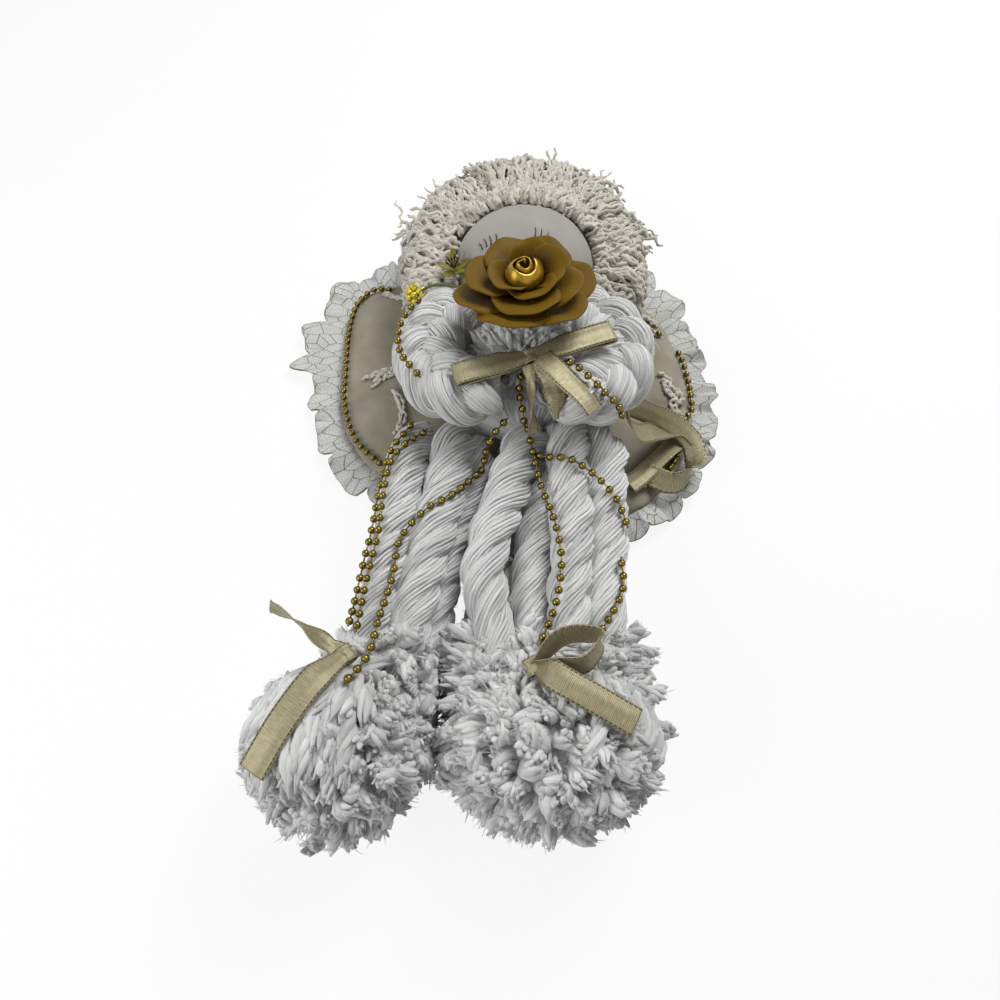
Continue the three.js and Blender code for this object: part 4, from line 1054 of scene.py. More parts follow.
def bodyParts():
    centre = np.array(body["centre"]) * mm
    half = np.array(body["half"]) * mm
    turn = np.linspace(0, 2 * np.pi, body["strands"], endpoint=False)[:, None]
    polar = np.linspace(0.1, np.pi - 0.1, body["steps"])[None]
    flat = np.ones_like(turn)

    def egg(around):
        return np.stack(
            [np.sin(polar) * np.cos(around), np.cos(polar) * flat, np.sin(polar) * np.sin(around)], axis=-1,
        )

    unrest = 1 + 0.02 * waves((body["strands"], body["steps"]), 3.0)
    paths = centre + half * egg(turn + body["swirl"] * np.cos(polar)) * unrest[..., None]
    rings = egg(turn).transpose(1, 0, 2)[:, ::-1]
    return [
        tubes(paths, np.full(paths.shape[:2], body["thread"] * mm), 6),
        # The egg under the strands gets the darkest tone: painted shade between them
        closedSkin(centre + half * body["core"] * rings, 0.0),
    ]


makePiece("body_yarn", bodyParts(), "cotton", "torso", ["torso_bundle"])

# Bib: cut yarn ends that fluff out between the arms
bib = {
    "centre": (10, 30, 46), "half": (22, 21, 12.5), "tufts": 260, "end": 2.2, "plies": 4, "steps": 8,
    "highest": 57.0, "lift": 7, "liftFrom": 30, "liftOver": 8, "stray": 260, "strayReach": 4.5,
}


def bibParts():
    centre = np.array(bib["centre"]) * mm
    half = np.array(bib["half"]) * mm
    ways = spreadDirections(bib["tufts"])
    ways = unit(ways + 0.2 * rng.normal(size=ways.shape))
    ways = ways[ways[:, 2] > -0.1]
    tips = centre + half * ways * rng.uniform(0.88, 1.1, (len(ways), 1))
    roots = centre + (tips - centre) * 0.35
    middles = centre + (tips - centre) * 0.8 + rng.normal(size=ways.shape) * 2.5 * mm
    paths = bowedPaths(roots, middles, tips, bib["steps"])
    lifted = bib["lift"] * np.clip((paths[..., 1] / mm - bib["liftFrom"]) / bib["liftOver"], 0, 1)
    paths[..., 2] = np.minimum(paths[..., 2] + lifted * mm, (bib["highest"] + lifted) * mm)
    return yarnEnds(paths, bib) + [strayFibres(paths, bib["stray"], bib["strayReach"])]


bibPiece = makePiece("bib_tufts", bibParts(), "cotton", "torso", ["bib_yarn"])
print("arms, body and bib made")

# Head: muslin drawn over a ball and gathered at the back
headLow, headHigh = [np.array(c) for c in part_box("head_cover")]
headCentre = (headLow + headHigh) / 2
headHalf = (headHigh - headLow) / 2
head = {"pleats": 22, "pleat": 0.05, "drawnIn": 0.05, "gatherSpan": 0.9, "rows": 48, "cols": 132}


def headParts():
    polar, turn, skin = ballRows(head["rows"], head["cols"], 0.02)
    gather = np.clip(1 - polar / head["gatherSpan"], 0, 1) ** 1.4
    swell = 1 + head["pleat"] * gather * np.cos(head["pleats"] * turn) - head["drawnIn"] * gather
    return [closedSkin(headCentre + headHalf * skin * swell[..., None])]


headPiece = makePiece("head_cloth", headParts(), "headCloth", "torso", ["head_cover", "head_core"])

# Lashes: a few fine painted strokes that show above the rose
lashes = {
    "strokes": [
        ((-7.4, 76.6), (-9.2, 80.6)), ((-5.6, 77.0), (-7.0, 81.6)), ((-3.8, 77.2), (-4.7, 82.2)),
        ((-1.7, 77.4), (-1.8, 82.2)), ((14.6, 78.4), (15.0, 83.6)), ((16.8, 78.2), (17.7, 83.2)),
        ((19.0, 77.6), (20.6, 82.2)),
    ],
    "thick": 0.36, "thin": 0.35, "bow": 0.35, "steps": 9,
}


# A point of the doll's front, off millimetres above the head
def onHead(x, y, off):
    flat = np.array([x * mm - headCentre[0], y * mm - headCentre[1]]) / headHalf[:2]
    up = math.sqrt(max(0.0, 1 - float(flat @ flat)))
    return [x, y, (headCentre[2] + headHalf[2] * up) / mm + off]


lashPaths = []
for start, end in lashes["strokes"]:
    middle = [(start[0] + end[0]) / 2 + lashes["bow"], (start[1] + end[1]) / 2]
    points = [onHead(*start, 0.15), onHead(*middle, 0.25), onHead(*end, 0.3)]
    lashPaths.append(smoothPath(points, lashes["steps"]))
lashPaths = np.stack(lashPaths)
lashTaper = np.linspace(1, lashes["thin"], lashes["steps"])
lashRadii = np.broadcast_to(lashes["thick"] * mm * lashTaper, lashPaths.shape[:2])
makePiece("lash_strokes", [tubes(lashPaths, lashRadii, 6)], "ink", "torso")

# Hair: crinkled boucle locks from the hairline over the crown, some ending in loose spikes
hair = {
    "locks": {"front": (98, 5), "spike": (36, 3), "back": (42, 4)}, "steps": 36, "spread": 0.63,
    "spikeSpread": (-0.42, 0.34), "thread": 1.0, "lay": 3.6, "crinkle": 0.85, "wave": 7.4,
    "hairline": 33, "hairlineRise": 9.5, "headRadius": 33.5, "headDepth": 29,
    "reach": 43, "wide": 13, "peak": 7.75, "deep": 18, "below": 6, "lowest": 11.5, "lowestCurl": 10.8,
    "stray": 700, "strayReach": 4.0, "strayRadius": 0.09,
    "arch": {"radius": 37, "below": 9.0, "thick": 7.5, "steps": 60},
}
wispRoutes = [
    [[-40, 110, 36], [-43, 114, 38], [-46, 116, 40], [-48, 121, 41], [-50, 128, 42]],
    [[-43, 113, 38], [-46, 116, 40], [-48, 114, 40], [-49, 112, 40]],
    [[40, 128, 42], [48, 127, 40], [58, 124, 38], [66, 124, 36]],
    [[44, 114, 40], [53, 112, 38], [61, 111, 36], [67, 108, 34]],
    [[20, 134, 44], [29, 143, 42], [37, 149, 40], [45, 153, 38]],
]


# The strands of a lock share their way; each runs from the hairline over the hair's rounded section
# to its rim
def hairStrands(kind):
    locks, strands = hair["locks"][kind]
    count = locks * strands
    reach = hair["spikeSpread"] if kind == "spike" else (-hair["spread"], hair["spread"])
    place = (np.arange(locks) + rng.uniform(0, 1, locks)) / locks

    def shared(low, high, loose):
        return np.repeat(rng.uniform(low, high, locks), strands) + loose * rng.normal(size=count)

    turn = np.pi / 2 + np.pi * np.repeat(reach[0] + (reach[1] - reach[0]) * place, strands)
    turn = turn + 0.03 * rng.normal(size=count)
    crown = np.clip(np.sin(turn), 0, 1) ** 2
    startFar = hair["hairline"] - hair["hairlineRise"] * crown + shared(-2.4, 1.6, 0.5)
    ground = np.sqrt(np.clip(1 - (startFar / hair["headRadius"]) ** 2, 0, 1)) * hair["headDepth"]
    layer = 1 - 0.4 * np.clip(shared(-0.2, 1, 0.08), 0, 1) ** 1.6
    middle = hair["reach"] + hair["peak"] * crown
    wide = (hair["wide"] + hair["peak"] * crown) * layer
    tall = hair["deep"] * layer
    last = shared(-30, 25, 6)
    angles = np.radians(np.stack([np.full(count, 108.0), np.full(count, 68.0), 0.5 * last + 34, last]))
    fars = np.vstack([startFar, startFar + 3.5, middle + wide * np.cos(angles)])
    ups = np.vstack([ground + 0.3, ground + 2.2, tall * np.sin(angles) - hair["below"]])
    if kind == "spike":
        fars[-1] += shared(3, 10, 0.8)
        ups[-1] = shared(-8, 4, 1)
    if kind == "back":
        ups = np.concatenate([-ups[:2], -ups[2:] - 2 * hair["below"]])
    fars = fars + rng.normal(size=fars.shape) * 0.6
    ups = ups + rng.normal(size=ups.shape) * 0.6
    swing = np.array([0.0, 0.02, 0.05, 0.09, 0.12, 0.14])[:, None]
    skew = swing * np.repeat(rng.normal(size=(1, locks)), strands, axis=1)
    skew = skew + 0.3 * swing * rng.normal(size=fars.shape)
    x = headCentre[0] / mm + fars * np.cos(turn + skew)
    y = headCentre[1] / mm + fars * np.sin(turn + skew)
    points = np.stack([x, y, np.maximum(headCentre[2] / mm + ups, hair["lowest"])], axis=-1)
    return np.stack([smoothPath(points[:, i], hair["steps"]) for i in range(count)])


# Strands that lie together crinkle alike
def curled(paths, thread, together=1):
    _, first, second = carriedFrames(paths)
    count, steps = paths.shape[:2]
    share = np.linspace(0, 1, steps)
    size = pathLengths(paths)[:, None] / (hair["wave"] * mm)
    fade = np.interp(share, [0, 0.1, 0.85, 1], [0.4, 1, 1, 0.6])

    def shared(low, high):
        return np.repeat(rng.uniform(low, high, (count // together, 1)), together, axis=0)

    swing = []
    for _ in range(2):
        beat = shared(0.8, 1.25) * size * share + shared(0, 1) + 0.07 * rng.normal(size=(count, 1))
        swing.append(shared(0.6, 1.3) * np.sin(2 * np.pi * beat) * fade + 0.5 * waves((count, steps), 3.0))
    paths = paths + hair["crinkle"] * mm * (first * swing[0][..., None] + second * swing[1][..., None])
    nubs = 1 + 0.28 * np.sin(2 * np.pi * (2.1 * size * share + rng.uniform(0, 1, (count, 1))))
    thin = np.interp(share, [0, 0.9, 1], [1, 0.95, 0.5])
    radii = thread * mm * (nubs + 0.15 * waves((count, steps), 9.0)) * thin
    radii = radii * rng.uniform(0.7, 1.25, (count, 1))
    paths[..., 2] = np.maximum(paths[..., 2], hair["lowestCurl"] * mm)
    return tubes(paths, radii, 8, (0.0, 0.45), hair["lay"])


def looseHair(paths):
    return strayFibres(paths, hair["stray"], hair["strayReach"], hair["strayRadius"])


# A padded arch inside the hair, so that no light shows through; its darker tones are painted shade under the
# strands
def archParts():
    look = hair["arch"]
    turn = np.pi * np.linspace(0.5 - hair["spread"], 0.5 + hair["spread"], look["steps"])
    below = np.full(look["steps"], -look["below"])
    around = np.stack([look["radius"] * np.cos(turn), look["radius"] * np.sin(turn), below], axis=1)
    path = headCentre + around * mm
    return tubes(path[None], np.full((1, look["steps"]), look["thick"] * mm), 12, (0.0, 0.1))


frontLocks, frontStrands = hair["locks"]["front"]
rightHair, leftHair = np.split(hairStrands("front"), [frontLocks // 2 * frontStrands])
wisps = np.stack([smoothPath(route, hair["steps"]) for route in wispRoutes])
spikes = curled(hairStrands("spike"), 0.85 * hair["thread"], hair["locks"]["spike"][1])
hairParts = {
    "hair_curls_right": [curled(rightHair, hair["thread"], frontStrands), looseHair(rightHair)],
    "hair_curls_left": [curled(leftHair, hair["thread"], frontStrands), looseHair(leftHair), archParts()],
    "hair_spikes": [spikes, curled(wisps[:2], 0.5), curled(wisps[2:], 1.2)],
    "hair_back_curls": [curled(hairStrands("back"), hair["thread"], hair["locks"]["back"][1])],
}
for name, parts in hairParts.items():
    makePiece(name, parts, "boucle", "torso", ["hair"] if "curls" in name else ())
print("head and hair made")

# Wings: outlines shared by the board, the lace and the stitching
leftEdge = [
    [4, 97], [-26, 107], [-56, 107], [-73, 99], [-78, 82], [-78, 55], [-77, 33], [-70, 13], [-55, -3],
    [-26, -7], [4, -2], [5, 30], [5, 65],
]
rightEdge = [
    [14, -5], [36, -22], [58, -23], [76, -9], [89, 12], [93, 32], [92, 52], [87, 73], [77, 92], [58, 104],
    [36, 106], [14, 97], [13, 65], [13, 30],
]


def closedOutline(edge, count):
    looped = [[x, y, 0] for x, y in edge[-2:] + edge + edge[:3]]
    dense = curveThrough(looped)[2 * curveSteps:(2 + len(edge)) * curveSteps + 1]
    return evenPath(dense, count + 1)[:-1]


# Pads: the CAD pad remeshed, swelled as cloth under pressure, then creased and wrinkled
padLook = {
    "voxel": 2.4, "pressure": 4.0, "frames": 20, "cap": 2.2, "wrinkle": 0.55, "wrinkleLength": 15,
    "lowest": 2.1, "creases": {"left": 49, "right": 22}, "creaseSlant": 0.12, "creaseWide": 3.2,
    "creaseDeep": 1.5,
}


def smoothNoise(points, wavelength, seed):
    local = np.random.default_rng(seed)
    total = np.zeros(len(points))
    for _ in range(7):
        way = unit(local.normal(size=3)) / (wavelength * local.uniform(0.7, 1.5))
        total += np.sin(2 * np.pi * (points / mm) @ way + local.uniform(0, 6.28))
    return total / 3.5


def wingPad(side):
    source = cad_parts[f"{side}_wing_pad"]
    mesh = source.data.copy()
    pad = bpy.data.objects.new(f"{side}_wing_cushion", mesh)
    scene.collection.objects.link(pad)
    remesh = pad.modifiers.new("remesh", "REMESH")
    remesh.mode = "VOXEL"
    remesh.voxel_size = padLook["voxel"] * mm
    start = appliedMesh(pad)
    before = np.empty(len(start.vertices) * 3)
    start.vertices.foreach_get("co", before)
    before = before.reshape(-1, 3)
    cloth = pad.modifiers.new("cloth", "CLOTH")
    cloth.settings.use_pressure = True
    cloth.settings.uniform_pressure_force = padLook["pressure"]
    cloth.settings.effector_weights.gravity = 0
    for number in range(1, padLook["frames"] + 1):
        scene.frame_set(number)
    swelled = appliedMesh(pad)
    scene.frame_set(1)
    after = np.empty(len(swelled.vertices) * 3)
    swelled.vertices.foreach_get("co", after)
    move = after.reshape(-1, 3) - before
    size = np.linalg.norm(move, axis=1, keepdims=True)
    before = before + move * np.minimum(1, padLook["cap"] * mm / np.maximum(size, 1e-9))
    swelled.vertices.foreach_set("co", before.ravel())
    smooth = pad.modifiers.new("smooth", "SUBSURF")
    smooth.levels = 1
    final = appliedMesh(pad)
    points = np.empty(len(final.vertices) * 3)
    final.vertices.foreach_get("co", points)
    points = points.reshape(-1, 3)
    top = np.clip((points[:, 2] / mm - 4) / 3, 0, 1)
    apart = points[:, 1] / mm - padLook["creases"][side] - padLook["creaseSlant"] * points[:, 0] / mm
    crease = np.exp(-(apart / padLook["creaseWide"]) ** 2)
    points[:, 2] -= top * crease * padLook["creaseDeep"] * mm
    wrinkles = smoothNoise(points * [1, 0.45, 1], padLook["wrinkleLength"], 5)
    points[:, 2] += top * padLook["wrinkle"] * mm * wrinkles
    points[:, 2] = np.maximum(points[:, 2], padLook["lowest"] * mm)
    final.vertices.foreach_set("co", points.ravel())
    final.shade_smooth()
    final.materials.clear()
    final.materials.append(finishes["wingCloth"])
    settle(pad, "torso", [f"{side}_wing_pad"])
    return pad


# The object's mesh with its modifiers worked in, so that none is left on the piece
def appliedMesh(piece):
    graph = bpy.context.evaluated_depsgraph_get()
    made = bpy.data.meshes.new_from_object(piece.evaluated_get(graph))
    piece.modifiers.clear()
    piece.data = made
    return made


padPieces = {side: wingPad(side) for side in sides}
print("wing pads swelled")

# Board at the back: a stiff shape wrapped in muslin, with a stitched border
boardLook = {
    "profile": ((3.5, 0.0), (0.7, 0.0), (0.2, 0.3), (0.0, 1.0), (0.2, 1.6), (0.7, 1.9), (3.5, 1.95)),
    "stitch": 3.2, "stitchIn": 4.5, "stitchUp": 0.28, "thread": 0.22,
}
outlines = {"left": closedOutline(leftEdge, 220), "right": closedOutline(rightEdge, 220)}


def insetOutline(outline, by):
    ahead = np.roll(outline, -1, 0) - np.roll(outline, 1, 0)
    out = unit(np.stack([ahead[:, 1], -ahead[:, 0], np.zeros(len(ahead))], axis=1))
    centre = outline.mean(axis=0)
    if np.mean(np.sum(out * (outline - centre), axis=1)) < 0:
        out = -out
    return outline - out * by * mm


# The profile's numbers are how far in from the outline a row lies, and how high
def slabParts(outline):
    rings = np.stack([insetOutline(outline, inset) + [0, 0, z * mm] for inset, z in boardLook["profile"]])
    turned = np.cross(outline[1] - outline[0], outline.mean(axis=0) - outline[0])[2] > 0
    return closedSkin(rings if turned else rings[:, ::-1])


# Running stitches on the underside: each lies along the cloth and goes up into it at both ends
def stitchParts(outline):
    line = insetOutline(outline, boardLook["stitchIn"])
    line = np.vstack([line, line[:1]])
    count = int(pathLength(line) / (boardLook["stitch"] * mm))
    loop = evenPath(line, count * 4 + 1)
    rise = np.array([0, 0, boardLook["stitchUp"] * mm])
    sunk = np.array([0, 0, boardLook["thread"] * mm])
    paths = []
    for i in range(count):
        a, b = loop[i * 4] + rise, loop[i * 4 + 3] + rise
        paths.append(np.stack([a + sunk, a * 0.7 + b * 0.3, a * 0.3 + b * 0.7, b + sunk]))
    paths = np.stack(paths)
    return tubes(paths, np.full(paths.shape[:2], boardLook["thread"] * mm), 4)


bridge = np.array([[-9, 10, 0], [27, 10, 0], [27, 80, 0], [-9, 80, 0]], float) * mm
bridgeLoop = evenPath(np.vstack([bridge, bridge[:1]]), 121)[:-1]
slabs = [slabParts(outline) for outline in (outlines["left"], outlines["right"], bridgeLoop)]
makePiece("wing_back", slabs, "wingCloth", "torso", ["wing_board"])
stitches = [stitchParts(outlines[side]) for side in sides]
makePiece("wing_stitches", stitches, "thread", "torso")

# Lace: one gathered strip along each outer edge, ruffled more towards its scalloped tongues
laceLook = {
    "left": {"start": (-28, 107), "end": (-36, -6), "width": 12, "flareY": 66, "flare": 12.4, "tongues": 9},
    "right": {"start": (34, -20), "end": (46, 106), "width": 9.4, "flareY": 104, "flare": 9.9, "tongues": 12},
    "flareSpan": 17, "tuck": 5.5, "wave": 2.9, "folds": 8, "thick": 0.45, "rows": 420, "cols": 18,
    "base": 2.3, "lowest": 0.5, "fullness": 1.5, "cordFrom": 0.965, "cordThick": 0.9, "cordMark": 120.0,
}
wingMiddle = np.array([9, 50, 0]) * mm
for side in sides:
    look = laceLook[side]
    outline = outlines[side]
    first, last = (
        int(np.argmin(np.linalg.norm(outline[:, :2] - np.array(look[k]) * mm, axis=1)))
        for k in ("start", "end")
    )
    span = outline[first:last + 1] if first < last else outline[last:first + 1][::-1]
    line = evenPath(span, laceLook["rows"])
    along = unit(np.gradient(line, axis=0))
    out = np.stack([along[:, 1], -along[:, 0], np.zeros(len(line))], axis=1)
    if np.mean(np.sum(out * (line - wingMiddle), axis=1)) < 0:
        out = -out
    u = np.linspace(0, 1, laceLook["rows"])[:, None]
    v = np.linspace(0, 1, laceLook["cols"])[None]
    phase = 2 * np.pi * laceLook["folds"] * u
    flare = look["flare"] * np.exp(-((line[:, 1:2] / mm - look["flareY"]) / laceLook["flareSpan"]) ** 2)
    tongue = np.abs(np.sin(np.pi * look["tongues"] * u + 0.5 * np.sin(phase))) ** 0.75
    wide = (look["width"] + flare) * (0.6 + 0.5 * tongue)
    calm = 1 - 0.8 * flare / look["flare"]  # the widest tongue lies flatter
    ruffle = laceLook["wave"] * (1 + calm * np.sin(phase)) * v ** 1.1
    ripple = calm * (1.2 * np.sin(2.7 * phase + 1.2) + 0.5 * np.sin(5.3 * phase)) * v ** 1.4
    height = laceLook["base"] + ruffle + ripple + 1.2 * np.sin(np.pi * v) - 0.8 * tongue * v ** 3
    height = np.maximum(height, laceLook["lowest"])
    sway = calm * (0.8 * np.cos(phase) + 0.4 * np.cos(2.7 * phase)) * v ** 1.5
    outwards = wide * v - laceLook["tuck"] * (1 - v)
    grid = line[:, None] + mm * (out[:, None] * outwards[..., None] + along[:, None] * sway[..., None])
    grid[..., 2] = height * mm
    unrolled = u * pathLength(line) / mm * laceLook["fullness"]
    corded = v > laceLook["cordFrom"]
    mark = np.where(corded, laceLook["cordMark"], 0.0)
    lie = np.stack([np.broadcast_to(a, height.shape) for a in (wide * v, unrolled, mark)], axis=-1)
    thick = np.broadcast_to(np.where(corded, laceLook["cordThick"], laceLook["thick"]), height.shape)
    piece = makePiece(
        f"{side}_wing_ruffle", [thickGrid(grid, thick, lie)], "lace", "torso", [f"{side}_wing_lace"],
    )
print("lace gathered")

# Scraps of boucle yarn that lie along the wing creases and beside the hair, a few to each route
scrap = {"each": 3, "steps": 40, "apart": 1.3, "crinkle": 0.6, "beats": (4, 7), "thread": 0.75}
scrapRoutes = [
    [[-64, 47], [-57, 50], [-50, 53], [-44, 55]], [[-60, 44], [-56, 49], [-51, 48], [-46, 52]],
    [[-57, 98], [-50, 95], [-45, 99], [-41, 93]], [[-47, 88], [-42, 90], [-40, 84], [-44, 80]],
    [[-50, 40], [-47, 33], [-45, 25], [-46, 18]], [[80, 42], [84, 36], [80, 31], [85, 27]],
    [[76, 48], [81, 45], [77, 40], [82, 36]], [[70, 24], [76, 21], [81, 24], [86, 20]],
    [[62, 84], [68, 79], [72, 83], [77, 78]], [[60, 78], [66, 73], [70, 77], [75, 72]],
]
padTrees = feelers([padPieces[side] for side in sides])
share = np.linspace(0, 1, scrap["steps"])
scraps = []
for route in scrapRoutes:
    for _ in range(scrap["each"]):
        moved = [[x + rng.normal() * scrap["apart"], y + rng.normal() * scrap["apart"]] for x, y in route]
        path = evenPath(laidOver(moved, padTrees, 1.0, 2.0, 0.8), scrap["steps"])
        _, across, up = carriedFrames(path[None])
        for axis in (across[0], up[0]):
            beat = rng.uniform(*scrap["beats"]) * share + rng.uniform()
            size = scrap["crinkle"] * mm * np.abs(axis[:, 2:] * 0.4 + 0.6)
            path = path + size * axis * np.sin(2 * np.pi * beat)[:, None]
        scraps.append(path)
scraps = np.stack(scraps)
scrapRadii = scrap["thread"] * mm * (1 + 0.3 * waves(scraps.shape[:2], 8.0))
makePiece("wing_boucle_scraps", [tubes(scraps, scrapRadii, 6, (0.2, 0.5))], "boucle", "torso")


# Beads moulded on a thread: a string of round beads along a laid route
bead = {"diameter": 3.1, "pitch": 5.0, "string": 0.75, "sink": 0.35}
wingBead = {"diameter": 3.0, "pitch": 4.0, "string": 0.8, "sink": 0.2}
beadRows = (14, 34, 54, 70, 82, 90, 98, 110, 126, 146, 166)  # degrees from one end of the bead to the other


def beadParts(path, kind):
    steps = 12
    count = max(2, int(round(pathLength(path) / (kind["pitch"] * mm))))
    even = evenPath(path, count * steps + 1)
    _, first, second = carriedFrames(even[None])
    tangent = unit(np.gradient(even, axis=0))
    polar = np.radians(beadRows)[:, None, None]
    turn = np.linspace(0, 2 * np.pi, 12, endpoint=False)[:, None]
    radius = kind["diameter"] / 2 * mm
    parts = []
    for middle in range(steps // 2, count * steps, steps):
        ring = np.cos(turn) * first[0, middle] + np.sin(turn) * second[0, middle]
        rings = even[middle] + radius * (np.sin(polar) * ring[None] - np.cos(polar) * tangent[middle])
        parts.append(closedSkin(rings))
    thread = even[::3]
    parts.append(tubes(thread[None], np.full((1, len(thread)), kind["string"] / 2 * mm), 6))
    return parts, even


def beadCord(name, route, over, kind, body, nodes):
    clear = kind["diameter"] / 2
    path = laidOver(route, over, clear, 1.5, 0.35 * kind["diameter"], kind["sink"])
    parts, even = beadParts(path, kind)
    piece = makePiece(name, parts, "bead", body, nodes)
    return piece


wingStrings = {
    "left_wing_beads": [
        [-54, 101], [-64, 102], [-71, 95], [-74, 83], [-74, 56], [-73, 34], [-66, 14], [-53, 1],
    ],
    "right_wing_beads_top": [[46, 70], [57, 74], [68, 76], [79, 71]],
    "right_wing_beads_side": [[86, 64], [89, 52], [90, 38], [89, 29], [84, 25], [70, 26]],
    "right_wing_beads_low": [[84, 15], [79, 3], [71, -6], [62, -11]],
}
stringPieces = {}
for name, route in wingStrings.items():
    label = f"{name.removesuffix('_beads')}_string"
    stringPieces[name] = beadCord(label, route, padTrees, wingBead, "torso", [name])

armTrees = feelers(armPieces + [bibPiece])
legTrees = {s: feelers(ropePieces[s] + footPieces[s] + [tiePieces[s]]) for s in sides}
strings = {
    "left_arm_beads": [[-33, 53, 46], [-40, 41, 46], [-41, 29, 47], [-38, 20, 50], [-31, 11, 54]],
    "chest_beads_right": [[15, 24], [20, 19], [27, 15], [34, 8], [42, 2, 58], [49, -1, 50]],
    "chest_beads_middle": [[11, 26], [9, 18], [8, 12], [8, 7, 56], [9, 2, 54], [10, -3, 49]],
    "left_leg_beads_outer": [
        [-36, 6, 36], [-44, -8, 38], [-48, -24, 36], [-50, -44, 35], [-53, -66, 35], [-54, -84, 35],
    ],
    "left_leg_beads_inner": [
        [-30, 2, 40], [-38, -5], [-44, -14], [-46, -26], [-47, -46], [-50, -66], [-51, -86],
    ],
    "left_leg_beads_cross": [
        [3, 2, 48], [-4, -7, 46], [-10, -18], [-19, -29], [-29, -36], [-38, -48], [-40, -62], [-43, -80],
        [-45, -96], [-51, -107],
    ],
    "right_leg_beads_middle": [[11, 1, 46], [13, -9], [16, -24], [21, -42], [23, -58], [20, -76], [14, -91]],
    "right_leg_beads_cross": [[14, -11], [21, -14], [30, -17], [38, -22], [45, -30], [50, -42]],
    "right_leg_beads_outer": [[46, -55], [46, -67], [42, -76], [35, -87]],
}
for name, route in strings.items():
    side = name.split("_")[0]
    if "_leg_" in name:
        stringPieces[name] = beadCord(f"{name}_string", route, legTrees[side], bead, legBlend(side), [name])
    else:
        stringPieces[name] = beadCord(f"{name}_string", route, armTrees, bead, "torso", [name])
print("bead strings laid", len(stringPieces))

# Ribbons: woven strips with a slight cup, laid over what they cover
ribbon = {"width": 9.8, "stockWidth": 10, "thick": 0.35, "cols": 9, "rows": 70}


def ribbonGrid(path, side, taper, twist=None, cup=0.4):
    path = evenPath(path, ribbon["rows"])
    along = unit(np.gradient(path, axis=0))
    side = np.broadcast_to(np.asarray(side, float), path.shape)
    across = unit(side - along * np.sum(side * along, axis=1, keepdims=True))
    up = np.cross(along, across)
    t = np.linspace(0, 1, ribbon["rows"])
    if twist is not None:
        angle = np.radians(twist(t))[:, None]
        across, up = across * np.cos(angle) + up * np.sin(angle), up * np.cos(angle) - across * np.sin(angle)
    s = np.linspace(-1, 1, ribbon["cols"])
    wide = (ribbon["width"] / 2 * taper(t))[:, None, None] * mm
    arched = (cup * (1 - s ** 2) + 0.12 * np.sin(7 * s))[None, :, None] * mm
    grid = path[:, None] + across[:, None] * s[None, :, None] * wide + up[:, None] * arched
    length = pathLength(path) / mm
    places = (s, t[:, None] * length, rng.uniform(0, 50))
    lie = np.stack([np.broadcast_to(a, grid.shape[:2]) for a in places], axis=-1)
    return grid, lie, length


def ribbonPiece(name, grids, body, nodes):
    parts = [thickGrid(grid, ribbon["thick"], lie) for grid, lie, _ in grids]
    piece = makePiece(name, parts, "ribbon", body, nodes)
    return piece


def plainTaper(t):
    return np.ones_like(t)


# Drawn in at both ends, where a loop goes into its knot
def loopTaper(t):
    return 0.5 + 0.5 * np.minimum(1, np.minimum(5 * t, 5 * (1 - t)))


# Drawn in at the start, where a tail leaves its knot
def tailTaper(t):
    return 0.55 + 0.45 * np.minimum(1, 4 * t)


# Chest bow: a knot with a flat loop to each side, high enough to rest on the arms all along
bow = {
    "knot": (12, 18), "knotUp": 3.0, "knotSize": 3.4, "clear": 1.3, "ends": ((-17, 9), (44, 29.5)),
    "rests": ((12, 18), (0, 14), (-12, 11), (26, 23), (38, 28)), "feel": 3,
}
chestStrings = [stringPieces["chest_beads_right"], stringPieces["chest_beads_middle"]]
chestTrees = feelers(armPieces + [bibPiece] + chestStrings)
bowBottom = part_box("chest_bow")[0][2] / mm
bowRests = max(heightOver(chestTrees, x * mm, y * mm, bow["feel"] * mm) for x, y in bow["rests"])
knot = np.array([*bow["knot"], max(bowBottom + bow["knotUp"], bowRests / mm + bow["clear"])])
loopEnds = [np.array([x, y, 0.0]) for x, y in bow["ends"]]


def bowLoop(end):
    way = unit((end - knot) * [1, 1, 0])
    side = np.array([-way[1], way[0], 0])
    high = np.array([end[0], end[1], knot[2] + 0.8])
    mid = (knot + high) / 2
    points = [
        knot + [0, 0, 0.9], mid + [0, 0, 1.5], high + [0, 0, 0.8], high + way * 0.9, high + [0, 0, -0.7],
        mid + [0, 0, 0.2], knot + [0, 0, -0.7],
    ]
    return ribbonGrid(smoothPath(points, 120), side, loopTaper, None, 0.25)


def knotGrid(at, way, size):
    points = []
    for angle in np.linspace(-30, 330, 15):
        a = math.radians(angle)
        across, up = math.cos(a) * size, math.sin(a) * size * 0.62
        points.append(at + np.array([way[0] * across, way[1] * across, up]))
    side = np.array([-way[1], way[0], 0])
    return ribbonGrid(smoothPath(points, 120), side, lambda t: np.full_like(t, 0.62), None, 0.5)


bowGrids = [bowLoop(end) for end in loopEnds]
bowGrids.append(knotGrid(knot, unit(loopEnds[1] - loopEnds[0]), bow["knotSize"]))
ribbonPiece("chest_bow_loops", bowGrids, "torso", ["chest_bow"])

